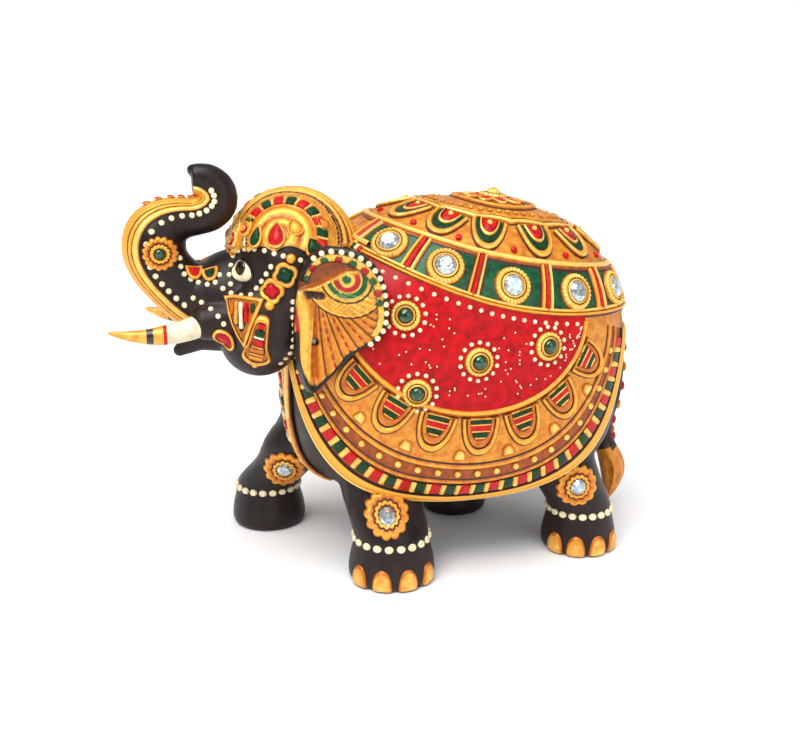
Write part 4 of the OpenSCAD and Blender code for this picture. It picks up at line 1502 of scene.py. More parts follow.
        ridge = ([(-3.4, 0.05, UMBER), (-2.9, 0.2, UMBER)] + cord_rows(-2.8, -1.4, 0.9, GOLD, 0.2)
            + [(-1.3, 0.2, UMBER), (-0.9, 0.2, UMBER)] + cord_rows(-0.8, 1.2, 1.2, PALE, 0.2)
            + [(1.3, 0.2, UMBER), (1.8, 0.05, UMBER)])
        inner = [(14.0, 0.05, UMBER)] + cord_rows(14.4, 16.2, 1.1, GOLD, 0.2) + [(16.3, 0.2, UMBER),
            (16.9, 0.05, UMBER)]
        shapes = [self.strip(ridge, wave, 180, closed=True),
                  self.strip(inner, lambda u, k: (-360 * u, k + 0 * u), 96, closed=True)]
        boss = Motif(circle(5.2, 48, 12, 0.1), [(1, 0.3, UMBER), (0.96, 0.9, GOLD), (0.85, 1.6, PALE),
            (0.62, 1.5, GOLD), (0.6, 1.3, GREEN), (0.44, 1.6, GREEN), (0.42, 2.2, PALE), (0.3, 2.8, PALE),
            (0.12, 3.2, GOLD)]).model()
        leaf = Motif(tongue(5.0, 5.6, 16), [(1, 0.2, UMBER), (0.93, 0.94, 0.8, GOLD), (0.8, 0.84, 1.1, PALE),
            (0.68, 0.74, 0.8, GOLD), (0.66, 0.72, 0.7, RED), (0.5, 0.55, 1.0, RED),
            (0.15, 0.2, 1.1, RED)]).model()
        shapes.append(boss.laid(BARREL.spot(0, 0.4, 0, 0.1)))
        shapes += [leaf.laid(BARREL.spot(a, 6.6)) for a in np.arange(10) * 36.0]
        bead = bead_motif(0.8, 0.8, PALE)
        shapes += [bead.laid(BARREL.spot(a, float(self.band_rise(a)) - 23.5)) for a in np.arange(36) * 10.0]
        make_piece("crown_rosette", shapes, ["crown_rosette"], angle=35)

    def build(self) -> None:
        """Builds the whole cloth, from the ground up."""
        self.build_ground()
        self.build_border()
        self.build_moons()
        self.build_band()
        self.build_crown()


# ---- Ornaments used in several places ----


def rounded_box(width: float, depth: float, corner: float) -> Array:
    """Outline of a bar with small rounded corners, centred.

    Args:
        width: size along x.
        depth: size along y.
        corner: radius of the corners.

    Returns:
        The points, anticlockwise.
    """
    w, d = width / 2 - corner, depth / 2 - corner
    points = []
    for cx, cy, start in ((w, -d, -90), (w, d, 0), (-w, d, 90), (-w, -d, 180)):
        for s in (0, 45, 90):
            t = math.radians(start + s)
            points.append((cx + corner * math.cos(t), cy + corner * math.sin(t)))
    return np.array(points)


def bead_motif(r: float, height: float, coat: Coat, sides: int = 10) -> Shape:
    """A piped drop of paint or paste, flattened a little on top."""
    return Motif(circle(r, sides), [(1, height * 0.3, coat), (0.85, height * 0.72, coat),
        (0.5, height * 0.96, coat), (0.2, height, coat)]).model()


def setting_motif(r: float, bore: float, beads: int) -> Shape:
    """A gold ring with a beaded shoulder and a dark seat for a stone.

    Args:
        r: outer radius.
        bore: radius of the stone.
        beads: notches round the shoulder.

    Returns:
        The setting.
    """
    # pale gold on the crests is a painted highlight and orange in the seat painted shade
    outer = [(1, 0.15, UMBER), (0.96, 0.5, GOLD), (0.93, 1.1, GOLD), (0.86, 1.55, PALE),
             (0.76, 1.65, PALE), (0.69, 1.3, GOLD), (0.675, 1.0, UMBER), (0.63, 1.0, UMBER)]
    k = bore / r
    outer += [(k + 0.1, 1.35, PALE), (k + 0.05, 1.6, PALE), (k + 0.01, 1.5, GOLD),
              (k, 0.8, ORANGE)]
    shape = Motif(circle(r, beads * 2), outer).model()
    reach = np.hypot(shape.verts[:, 0], shape.verts[:, 1]) / r
    turn = np.rint(np.degrees(np.arctan2(shape.verts[:, 1], shape.verts[:, 0])) / (180 / beads)).astype(int)
    low = (turn % 2 != 0) & (reach > 0.72) & (reach < 0.95)
    shape.verts[low, 2] -= 0.45
    # the notches also get darker gold as painted shade
    shape.relief[low] -= 0.35
    return shape


def cut_stone(r: float, sides: int = 9) -> Shape:
    """A faceted stone with a flat table.

    Args:
        r: radius.
        sides: facets round the girdle.

    Returns:
        The stone.
    """
    shape = Motif(circle(r, sides * 2), [(1, 1.0, Coat.CLEAR), (0.98, 1.5, Coat.CLEAR), (0.6, 2.5, Coat.CLEAR),
        (0.56, 2.6, Coat.CLEAR)]).model()
    reach = np.hypot(shape.verts[:, 0], shape.verts[:, 1]) / r
    turn = np.rint(np.degrees(np.arctan2(shape.verts[:, 1], shape.verts[:, 0])) / (180 / sides)).astype(int)
    low = (turn % 2 != 0) & (reach > 0.55) & (reach < 0.65)
    shape.verts[low, :2] *= 1.15
    shape.verts[low, 2] -= 0.25
    return shape


def eyed_dot(r: float = 0.95, height: float = 0.6) -> Shape:
    """A piped cream dot with a dimple where the brush left it."""
    return Motif(circle(r, 10), [(1, height * 0.4, CREAM), (0.82, height * 0.9, CREAM), (0.4, height, CREAM),
        (0.15, height * 0.95, CREAM)]).model()


def medallion_motif(r: float, bore: float, lobes: int) -> Shape:
    """A scalloped gold ring round an inner ring and a seat for a stone; orange on its slopes is painted shade and
    pale gold on its inner crest a painted highlight.

    Args:
        r: outer radius.
        bore: radius of the stone.
        lobes: scallops round the rim.

    Returns:
        The medallion.
    """
    k = bore / r
    return Motif(circle(r, lobes * 6, lobes, 0.13), [(1, 0.15, UMBER), (0.965, 0.6, ORANGE), (0.9, 1.05, GOLD),
        (0.8, 1.2, GOLD), (0.66, 0.85, ORANGE), (0.63, 0.6, ORANGE), (0.6, 0.5, UMBER), (0.56, 0.6, UMBER),
        (0.55, 1.0, GOLD), (0.49, 1.4, PALE), (k + 0.06, 1.3, GOLD), (k + 0.02, 0.9, ORANGE),
        (k, 0.7, UMBER)]).model()


def gem_motif(r: float, coat: Coat, height: float = 2.0) -> Shape:
    """A domed stone."""
    return Motif(circle(r, 18), [(1, height * 0.45, coat), (0.9, height * 0.7, coat), (0.68, height * 0.9, coat),
        (0.4, height, coat), (0.15, height * 1.03, coat)]).model()


def drop_outline(width: float, length: float, n: int = 24) -> Array:
    """Outline of a drop with its point at y = 0 and its round end at y = length.

    Args:
        width: width of the drop.
        length: its length.
        n: number of points.

    Returns:
        The points, anticlockwise.
    """
    t = np.arange(n) * 2 * np.pi / n
    y = (1 - np.cos(t)) / 2
    return np.c_[width / 2 * np.sin(t) * np.sin(t / 2) ** 0.9 * 1.12, length * y][::-1]


# ---- Head trappings ----


@dataclass
class HeadTrappings:
    """Headdress, brow drops, eyes, cheek pieces and the dressed trunk."""

    head: Head
    # middle of the arched blocks on each side of the headdress
    arch: tuple = (19.1, -39.0, 113.5)
    # painted highlight on the ridges and painted shade in the furrows of the headdress, as a brightness at each of
    # its points, found while its ridges are raised
    crest: Optional[Array] = None

    def headdress(self) -> None:
        """A ridged gold cap with a scalloped lower edge."""
        centre = np.array(self.arch)

        def lower(a: Array) -> Array:
            """Height angle of the scalloped edge.

            Args:
                a: angles from the left side to the front.

            Returns:
                Height angles.
            """
            rear = ease((-np.sin(np.radians(a)) + 0.1) / 0.8)
            front = np.exp(-(((a - 90) / 24) ** 2))
            return 28 - 3 * rear - 12 * front + 4 * np.abs(np.sin(np.radians(a * 180 / 24)))

        def place(u: Array, v: Array) -> Array:
            """Upper skin from the edge to the crown for v up to 0.5, then the underside.

            Args:
                u: place along the skin, from 0 to 1.
                v: place round it, from 0 to 1.

            Returns:
                Points in space.
            """
            a = 360 * u
            w = np.where(v <= 0.5, v * 2, 2 - v * 2)
            e = lower(a) + (90 - lower(a)) * w
            p = self.head.skull_at(a, e)
            side = p.copy()
            side[:, 0] = np.abs(p[:, 0])
            d = np.linalg.norm(side - centre, axis=1)
            ridge = 0.45 * np.cos(2 * np.pi * (d - 15.0) / 2.6) * np.clip((d - 16.5) / 1.5, 0, 1)
            ridge += 0.35 * np.cos(2 * np.pi * d / 4.2) * np.clip((11 - d) / 2, 0, 1)
            h = np.where(v <= 0.5, (1.15 + ridge) * ease(w * 22 + 0.25) + 0.1, -0.8)
            # the paint is lit up on the ridges as painted highlight and darkened in the furrows as painted shade
            self.crest = np.clip(0.5 + ridge * 1.1, 0, 1)
            return self.head.skull_at(a, e, h)

        def coat(u: float, v: float) -> Coat:
            """Gold with thin drawn lines in the deepest furrows.

            Args:
                u: place along the skin, from 0 to 1.
                v: place round it, from 0 to 1.

            Returns:
                The finish of that place.
            """
            w = v * 2 if v < 0.5 else 2 - v * 2
            a = 360 * u
            e = float(lower(a)) * (1 - w) + 90 * w
            p = self.head.skull_at(a, e)
            d = math.dist((abs(p[0]), p[1], p[2]), self.arch)
            if w < 0.035:
                return PALE
            if 10.9 < d < 11.5 or 12.5 < d < 12.9 or 17.2 < d < 17.7:
                return UMBER
            if 11.5 < d < 12.5:
                return CREAM
            return UMBER if d > 18 and (d - 15.0 + 1.3) % 2.6 < 0.42 else GOLD

        shape = grid_shape(300, 150, place, coat, lambda u, v: self.crest)
        make_piece("headdress", [shape], ["headdress"], angle=60)

    def arch_spot(self, angle: float, r: float, lift: float) -> Chart:
        """Chart on the headdress at an angle round the arch and a distance from its middle.

        Args:
            angle: degrees round the arch, from its rear end.
            r: distance from the middle of the arch.
            lift: height above the wood.

        Returns:
            A function from local points to points in space.
        """
        a, e = 62.0, 38.0
        p, up = (self.head.skull_at(a, x) for x in (e, e + 3))
        n = unit(np.array([0.72, -0.28, 0.6]))
        rise = unit((up - p) - n * np.dot(up - p, n))
        back = np.cross(n, rise)
        t = math.radians(angle)
        way = math.cos(t) * back + math.sin(t) * rise
        middle = np.array(self.arch)
        d = middle + way * r - np.array(self.head.skull)
        point = self.head.skull_at(np.degrees(np.arctan2(-d[1], d[0])),
            np.degrees(np.arcsin(d[2] / np.linalg.norm(d))))
        return self.head.host.spot(point, tuple(unit(unit(d) + 0.4 * n)), 0, lift, 0.4, tuple(way))

    def blocks(self) -> None:
        """The arch of red and green blocks between cream cords."""
        shapes = []
        for i, angle in enumerate(np.linspace(12, 168, 10)):
            coat = RED if i % 2 else GREEN
            block = Motif(rounded_box(2.7, 3.4, 0.4), [(1, 0.6, coat), (0.9, 0.92, 0.95, coat),
                (0.5, 0.6, 1.1, coat)]).model()
            spacer = Motif(rounded_box(1.0, 3.4, 0.2), [(1, 0.7, PALE), (0.6, 0.9, 1.0, PALE)]).model()
            shapes.append(block.laid(self.arch_spot(angle, 13.6, 1.0)))
            shapes.append(spacer.laid(self.arch_spot(angle + 8.7, 13.6, 1.0)))
        make_piece("headdress_blocks", both_sides(shapes), ["headdress_blocks"], angle=45)

    def shell(self, coat: Coat, width: float, length: float) -> Shape:
        """A gold drop-shaped shell with a painted drop in it.

        Args:
            coat: finish of the drop.
            width: width of the shell.
            length: its length.

        Returns:
            The shell.
        """
        return Motif(drop_outline(width, length), [(1, 0.5, GOLD), (0.94, 0.95, 1.0, PALE),
            (0.84, 0.86, 1.25, PALE), (0.74, 0.77, 0.95, GOLD), (0.7, 0.73, 0.8, UMBER), (0.67, 0.7, 0.8, coat),
            (0.5, 0.55, 1.3, coat), (0.2, 0.25, 1.5, coat)], anchor=(0, length * 0.62)).model()

    def drops(self) -> None:
        """Red and green drops along the brow, with gold shells between them."""
        host = self.head.host
        shapes = []
        for y, z, turn, width, length, coat in ((-39.0, 117.6, 0, 6.8, 9.4, RED),
                (-43.6, 116.2, -8, 5.2, 7.6, GREEN), (-31.0, 113.2, 25, 7.2, 6.6, GREEN),
                (-46.6, 118.6, -12, 5.0, 5.6, GOLD), (-35.0, 118.2, 14, 5.8, 6.4, GOLD),
                (-28.0, 118.0, 40, 5.0, 5.6, ORANGE)):
            point, normal = host.beside(y, z)
            out = unit(normal + 0.5 * ACROSS)
            shapes.append(self.shell(coat, width, length).laid(host.spot(point, out, turn, 0.9, 0.5)))
        for y, z, turn, coat in ((-50.2, 111.6, -20, RED), (-47.6, 116.4, -30, GOLD)):
            point, normal = host.beside(y, z)
            out = (0.75, -0.65, 0.2)
            shapes.append(self.shell(coat, 6.4, 6.0).laid(host.spot(point, out, turn, 0.5, 0.5)))
        make_piece("brow_drops", both_sides(shapes), ["brow_drops"], angle=40)

    def eyes(self) -> None:
        """Cream almond eyes with black pupils, in a black surround."""
        host = self.head.host
        t = np.arange(28) * 2 * np.pi / 28
        almond = np.c_[3.5 * np.cos(t) * (1 + 0.06 * np.cos(t)), 2.7 * np.sin(t) * (1 + 0.2 * np.cos(t))]
        lid = Motif(almond * 1.3, [(1, 0.25, BLACK), (0.86, 0.5, BLACK), (0.79, 0.6, CREAM), (0.7, 1.1, CREAM),
            (0.45, 1.4, CREAM), (0.2, 1.5, CREAM)]).model()
        pupil = Motif(circle(2.3, 20), [(1, 1.3, BLACK), (0.85, 1.65, BLACK), (0.4, 1.8, BLACK)]).model()
        chart = host.seen(-49.9, 102.3, (0.86, -0.5, 0.12), -18, 0.1, 0.8)
        make_piece("eyes", both_sides([lid.laid(chart), pupil.placed(0.9, -0.75).laid(chart)]),
            ["eyes"])

    def dots(self) -> None:
        """Rows of cream dots round the eyes, along the brow, the jaw and the trunk's bend."""
        host, dot = self.head.host, eyed_dot(0.85, 0.55)
        around = [(-54.0, 98.5), (-54.0, 101.5), (-52.5, 105.0), (-50.5, 108.0)]
        under = [(-56.4, 97.2), (-54.5, 96.0), (-52.0, 95.6), (-49.0, 96.0), (-47.0, 97.6), (-44.8, 101.0),
            (-42.5, 105.0)]
        brow = [(-49.0, 109.0), (-46.2, 109.6), (-43.0, 109.3), (-39.5, 108.4), (-34.0, 107.0), (-31.5, 105.5)]
        jaw = [(-36.6, 94.5), (-36.8, 90.5), (-36.4, 86.0), (-36.8, 82.0), (-37.4, 78.0), (-40.0, 73.5)]
        bend = [(-65.4, 94.0), (-63.0, 92.8), (-60.6, 91.4), (-58.6, 89.4), (-57.2, 87.2)]
        hole = [(-68.6, 106.2), (-68.6, 104.0), (-67.8, 101.6), (-66.0, 99.8), (-63.6, 98.6), (-60.8, 98.2),
            (-58.6, 98.8), (-57.0, 101.0)]
        shapes = [s for line in (around, under, brow, jaw, bend, hole) for s in host.row(line, 2.55, dot)]
        make_piece("eye_dots", both_sides(shapes), ["eye_dots"], merge=0)

    def cheeks(self) -> None:
        """Gold quatrefoils with painted middles, studs, and hanging plaques."""
        host = self.head.host
        ball = bead_motif(1.55, 1.5, GOLD, 14)
        shapes = []
        curl = Motif(circle(3.5, 32, 8, 0.1), [(1, 0.4, UMBER), (0.95, 1.3, GOLD), (0.78, 2.1, PALE),
            (0.62, 1.9, GOLD), (0.56, 1.7, RED), (0.36, 2.5, RED), (0.26, 2.4, PALE), (0.1, 2.8, ORANGE)]).model()
        for y, z, size in ((-50.6, 110.6, 1.0), (-49.0, 115.4, 0.8)):
            point, normal = host.beside(y, z)
            shapes.append(curl.placed(0, 0, 0, size).laid(host.spot(point, unit(normal + ACROSS), 0, 0.6, 0.8)))
        for y, z, coat, turn in ((-38.5, 102.6, GREEN, 20), (-42.4, 97.6, RED, 8)):
            foil = Motif(circle(4.1, 40, 4, 0.2), [(1, 0.2, UMBER), (0.95, 0.75, GOLD), (0.85, 1.15, PALE),
                (0.66, 1.1, GOLD), (0.56, 0.75, UMBER), (0.5, 0.7, coat), (0.38, 1.25, coat),
                (0.15, 1.4, coat)]).model()
            point, normal = host.beside(y, z)
            shapes.append(foil.laid(host.spot(point, unit(normal + ACROSS), turn, 0.1, 0.6)))
        for y, z in ((-36.6, 107.4), (-43.6, 93.3)):
            point, normal = host.beside(y, z)
            shapes.append(ball.laid(host.spot(point, normal, 0, 0, 1.0)))
        oval = Motif(circle(1, 28) * np.array([2.9, 4.4]), [(1, 0.3, UMBER), (0.94, 0.96, 0.8, GOLD),
            (0.8, 0.86, 1.15, PALE), (0.66, 0.76, 0.8, GOLD), (0.6, 0.7, 0.6, UMBER), (0.5, 0.62, 0.7, RED),
            (0.25, 0.35, 1.1, RED)]).model()
        shapes.append(oval.laid(host.seen(-56.6, 82.0, (0.8, -0.5, -0.25), 22, 0, 0.5)))
        for y, z, coat in ((-64.2, 101.6, RED), (-59.6, 101.4, GREEN)):
            scallop = Motif(tongue(5.6, 4.6, 16), [(1, 0.3, UMBER), (0.94, 0.8, GOLD), (0.8, 0.82, 1.2, PALE),
                (0.6, 0.64, 0.9, GOLD), (0.45, 0.5, 0.8, coat), (0.3, 0.34, 1.3, coat)], anchor=(0, 1.6)).model()
            shapes.append(scallop.placed(0, -1.5).laid(host.seen(y, z, (0.8, -0.15, 0.45), 8, 0.2, 0.5)))
        make_piece("cheek_ornaments", both_sides(shapes), ["cheek_ornaments"], angle=40)
        self.plaques()

    def plaques(self) -> None:
        """A three-cornered plaque under the eye and a bell-shaped one beside it, each with striped paint."""
        host = self.head.host
        rim = [(1, 0.25, UMBER), (0.95, 0.85, GOLD), (0.88, 1.15, PALE), (0.79, 0.95, GOLD),
               (0.75, 0.5, UMBER), (0.7, 0.4, GOLD)]
        corners = smooth_line([(4.9, -5.6), (5.6, -3.6), (-0.6, 9.0), (-2.0, 9.0), (-7.2, -3.6), (-6.4, -5.8)], 4,
            closed=True)
        shapes = [Motif(corners, rim, anchor=(-0.4, -1.6)).model()]
        for x, length, coat in ((3.0, 4.0, ORANGE), (1.2, 6.4, PALE), (-0.6, 7.6, CREAM), (-2.5, 5.6, RED),
                (-4.5, 2.6, GREEN)):
            bar = Motif(rounded_box(1.3, length, 0.3), [(1, 0.6, coat), (0.7, 0.9, 0.85, coat)]).model()
            shapes.append(bar.placed(x, -4.2 + length / 2, 6))
        chart = host.seen(-52.6, 89.8, (0.9, -0.42, 0.0), 0, 0.1, 0.6)
        placed = [s.laid(chart) for s in shapes]
        bell = smooth_line([(0, -8.0), (-1.9, -7.2), (-2.6, -3.0), (-3.2, 2.0), (-4.6, 7.0), (-3.4, 9.4),
            (0, 10.6), (3.4, 9.4), (4.6, 7.0), (3.2, 2.0), (2.6, -3.0), (1.9, -7.2)], 3, closed=True)[::-1]
        shapes = [Motif(bell, rim, anchor=(0, 2.0)).model()]
        for y, width, depth, coat in ((-4.6, 1.8, 1.8, RED), (-2.4, 2.8, 1.7, GREEN), (-0.9, 3.2, 0.7, CREAM),
                (0.9, 3.6, 2.0, RED), (2.4, 4.0, 0.6, PALE), (4.0, 4.4, 1.9, ORANGE), (5.6, 5.0, 0.6, PALE),
                (7.2, 4.6, 1.5, GOLD)):
            bar = Motif(rounded_box(width, depth, 0.25), [(1, 0.6, coat), (0.85, 0.7, 0.9, coat)]).model()
            shapes.append(bar.placed(0, y))
        shapes.append(bead_motif(1.1, 1.5, GOLD).placed(0, 9.8))
        chart = host.seen(-47.4, 83.0, (0.94, -0.3, -0.12), -14, 0.1, 0.6)
        placed += [s.laid(chart) for s in shapes]
        make_piece("cheek_pendants", both_sides(placed), ["cheek_pendants"], angle=40)

    def trunk(self) -> None:
        """Gold band along the trunk with drawn lines, its crest, dots and medallions."""
        half = ([(57, 0.1, UMBER), (55, 0.35, UMBER)] + cord_rows(54.5, 43, 1.25, PALE, 0.4) + [(42.5, 0.45, UMBER)]
                + cord_rows(41, 32, 1.2, GOLD, 0.5) + [(31.5, 0.5, UMBER), (29.5, 0.9, GOLD), (20, 1.25, GOLD),
                (10, 1.3, ORANGE), (8.5, 0.8, UMBER), (6, 1.2, PALE)])
        rows = half + [(-f, h, c) for (f, h, _), (_, _, c) in zip(half[::-1], [half[-1]] + half[::-1])]
        band = profile_strip(rows, lambda u, f, h: self.head.round_trunk(f, 0.16 + 0.835 * u, h), 110)
        shapes = [band]
        line = self.head.path(4)
        length = np.concatenate([[0], np.cumsum(np.linalg.norm(np.diff(line[:, :2], axis=0), axis=1))])
        total = length[-1]
        scale_leaf = Motif(tongue(2.6, 2.8, 10), [(1, 0.3, UMBER), (0.85, 0.88, 0.9, GOLD),
            (0.5, 0.6, 1.2, RED)]).model()
        for d in np.arange(0.56 * total, 0.8 * total, 2.1):
            s = float(np.interp(d, length, np.linspace(0, 1, len(line))))
            shapes.append(scale_leaf.placed(0, 0, 0, 0.8).laid(self.trunk_chart(0, s, 0.9)))
        make_piece("trunk_band", shapes, ["trunk_band"], angle=40)
        dot = eyed_dot(0.95, 0.65)
        dots = []
        for d in np.arange(0.2 * total, 0.93 * total, 2.75):
            s = float(np.interp(d, length, np.linspace(0, 1, len(line))))
            dots.append(dot.laid(self.trunk_chart(69, s, 0.0)))
        make_piece("trunk_dots", both_sides(dots), ["trunk_dots"], merge=0)
        chart = self.head.host.seen(-74.6, 108.2, (1.0, -0.12, 0.05), 10, 0.1, 0.6)
        make_piece("trunk_medallions", both_sides([medallion_motif(5.5, 1.7, 15).laid(chart)]),
                   ["trunk_setting"], angle=40)
        make_piece("trunk_stones", both_sides([gem_motif(1.65, Coat.EMERALD, 1.9).laid(chart)]),
            ["trunk_stone"])

    def trunk_chart(self, f: float, s: float, lift: float) -> Chart:
        """Chart on the trunk at f degrees round it and s along it, local y running to its tip.

        Args:
            f: degrees round the trunk from its outer face.
            s: place along it, from 0 to 1.
            lift: height above the wood.

        Returns:
            A function from local points to points in space.
        """
        p = self.head.round_trunk(np.array([f]), np.array([s]))[0]
        q = self.head.round_trunk(np.array([f]), np.array([s]), 1.0)[0]
        r = self.head.round_trunk(np.array([f]), np.array([s + 0.01]))[0]
        n, way = unit(q - p), unit(r - p)
        across = np.cross(way, n)

        def chart(v: Array) -> Array:
            """Lays local points flat on the trunk."""
            return p + v[:, :1] * across + v[:, 1:2] * way + (v[:, 2:3] + lift) * n

        return chart

    def build(self) -> None:
        """Builds all the head's trappings."""
        self.headdress()
        self.blocks()
        self.drops()
        self.eyes()
        self.dots()
        self.cheeks()
        self.trunk()


# ---- Ears ----


class Side(Enum):
    """Side of the figure."""

    LEFT = 1
    RIGHT = -1


EAR_LINE = ((-33, 107), (-28, 111.5), (-21, 111.5), (-15, 108.5), (-11, 102.5), (-9.6, 95.5), (-10, 88),
    (-13.5, 83), (-18.5, 80.5), (-23, 76.5), (-28, 71), (-33, 66.8), (-36, 72), (-37, 84), (-36, 97))


def ear_depth(y: Array, z: Array) -> Array:
    """Distance of the ear's inner face from the midline."""
    return 24 + 9.5 * ease((y + 37) / 25) + 4 * ease((84 - z) / 18)


def line_distance(p: Array, line: Array) -> tuple[Array, Array]:
    """Distance from points to a polyline, and how far along it the nearest place is.

    Args:
        p: points, one a row.
        line: the polyline's points.

    Returns:
        The distances and the lengths along the line.
    """
    best, along, start = np.full(len(p), 1e9), np.zeros(len(p)), 0.0
    for a, b in zip(line[:-1], line[1:]):
        d = b - a
        size = np.linalg.norm(d)
        t = np.clip(((p - a) @ d) / size ** 2, 0, 1)
        gap = np.linalg.norm(p - a - t[:, None] * d, axis=1)
        near = gap < best
        best, along = np.where(near, gap, best), np.where(near, start + t * size, along)
        start += size
    return best, along


@dataclass
class Ear:
    """One ear: a carved leaf with a rolled front fold, a hollow and fanned ribs, painted over the carving."""

    side: Side
    thick: float = 4.0
    middle: tuple = (-26.0, 92.0)
    eye: tuple = (-21.7, 102.3)
    fan: tuple = (-30.0, 99.5)
    # colour of each point, found while the face is carved
    tint: Optional[Array] = None

    def carve(self, p: Array, k: Array) -> tuple[Array, Array]:
        """Height and colour of the outer face.

        Args:
            p: places y and z.
            k: how far out each place is, 1 at the rim.

        Returns:
            The height in millimetres and the colour.
        """
        y, z = p[:, 0], p[:, 1]
        # orange is used only as painted shade in hollows and troughs; pale is a painted highlight on the fold's
        # ridge as well as the pale bands of the pattern
        gold, pale, orange = (np.array(linear(c)) for c in ("#d5851f", "#f2bb4c", "#b35a17"))
        umber, wood, red, green = (np.array(linear(c)) for c in ("#3a1308", BARE_WOOD, "#b3131c", "#155a30"))
        colour = np.tile(gold, (len(p), 1))
        height = np.zeros(len(p))

        def brush(mask: Array, tint: Array) -> None:
            """Paints a tint where the mask is near one."""
            m = np.clip(mask, 0, 1)[:, None]
            colour[:] = colour * (1 - m) + tint * m

        def soft(d: Array, width: float = 0.18) -> Array:
            """One inside an edge at zero distance, fading over a narrow width."""
            return 1 - ease(d / width + 0.5)

        # ribs that fan out below the hollow, with orange in their troughs as painted shade
        fy, fz = y - self.fan[0], z - self.fan[1]
        angle = np.degrees(np.arctan2(fy, -fz))
        reach = np.hypot(fy, fz)
        rib = (angle / 7.0) % 1.0
        gap = np.abs(rib - 0.5) * 7.0 * np.pi / 180 * reach
        number = np.floor(angle / 7.0).astype(int)
        ribs = (angle > -8) & (angle < 84)
        height += np.where(ribs, 0.32 * np.cos(2 * np.pi * rib) * np.clip(reach / 14, 0, 1), 0)
        brush(np.where(ribs, 0.4 * (1 - np.abs(np.cos(np.pi * rib))), 0), orange)
        brush(np.where(ribs & (number % 2 == 0), soft(gap - 0.22), 0), umber)
        dash = (reach % 2.6) < 1.5
        brush(np.where(ribs & (number % 2 != 0) & dash, soft(gap - 0.26), 0), red * 0.7)
        # the peacock eye with its bands
        ey, ez = y - self.eye[0], z - self.eye[1]
        ring = np.hypot(ey, ez)
        low = (ez < 0.8 + 0.35 * ey) | (ring < 2.0)
        inside = low & (ring < 12.2) & (k < 0.9)
        brush(np.where(inside, soft(ring - 11.9), 0), umber)
        brush(np.where(inside, soft(ring - 11.4), 0), pale)
        grains = 0.5 + 0.5 * np.sin(y * 4.2) * np.sin(z * 4.2)
        brush(np.where(inside & (ring < 10.6) & (ring > 7.5), grains, 0), gold)
        height += np.where(inside & (ring < 10.6) & (ring > 7.5), 0.3 + 0.25 * grains, 0)
        brush(np.where(inside, soft(ring - 7.4), 0), umber)
        brush(np.where(inside, soft(ring - 6.8), 0), pale)
        brush(np.where(inside, soft(ring - 5.7), 0), green)
        brush(np.where(inside, soft(ring - 4.3), 0), pale)
        brush(np.where(inside, soft(ring - 3.8), 0), red)
        brush(np.where(ring < 2.6, soft(ring - 2.2), 0), pale)
        brush(np.where(ring < 2.6, soft(ring - 1.3), 0), green)
        height += np.where(low & (ring < 6.8), 0.35 * np.cos(ring * 2.2) * (ring < 6), 0)
        # leaf-shaped hollow in front of it with a pale edge, orange and a darker umber middle inside it as painted
        # shade, and the dent of the wedge below painted umber as painted shade
        leaf, along = line_distance(p, smooth_line([(-36.2, 98.4), (-32.0, 101.6), (-27.0, 104.6), (-22.5, 106.2),
            (-18.5, 105.0)], 5))
        width = 2.9 * np.sin(np.pi * np.clip((along + 0.8) / 20.5, 0, 1)) ** 0.7
        height -= 1.7 * ease((width - leaf) / 1.6 + 0.3)
        brush(soft(leaf - width - 0.35), pale)
        brush(soft(leaf - width), orange)
        brush(0.5 * soft(leaf - width * 0.6, 1.2), umber)
        wedge, _ = line_distance(p, np.array([(-34.6, 97.2), (-29.0, 97.0)]))
        height -= 1.1 * ease((1.5 - wedge) / 1.4 + 0.2)
        brush(soft(wedge - 1.3, 0.7), umber)
        # rolled S-fold along the front with a red line at its edge; pale on its ridge is a painted highlight and
        # orange in the hollow behind it painted shade
        fold, _ = line_distance(p, smooth_line([(-35.4, 96.5), (-33.8, 91.5), (-33.4, 85.0), (-34.4, 78.0),
            (-34.8, 72.0), (-33.4, 67.5)], 6))
        height += 2.0 * np.exp(-(fold / 2.0) ** 2)
        brush(0.9 * soft(fold - 1.9, 1.5), pale)
        hollow, _ = line_distance(p, smooth_line([(-31.0, 94.0), (-30.4, 87.0), (-31.2, 79.0), (-31.4, 72.0)], 5))
        height -= 0.7 * np.exp(-(hollow / 1.5) ** 2)
        brush(0.75 * soft(hollow - 0.9, 1.4), orange)
        edge, _ = line_distance(p, smooth_line([(-36.6, 93.0), (-35.9, 86.0), (-36.2, 78.0), (-35.9, 71.5),
            (-34.6, 68.0)], 5))
        brush(soft(edge - 0.55, 0.3), red)
        # a small pit, painted umber inside as painted shade
        hole = np.hypot(y + 30.9, z - 82.4)
        height -= 1.6 * ease((1.3 - hole) / 0.8)
        brush(soft(hole - 1.2, 0.5), umber)
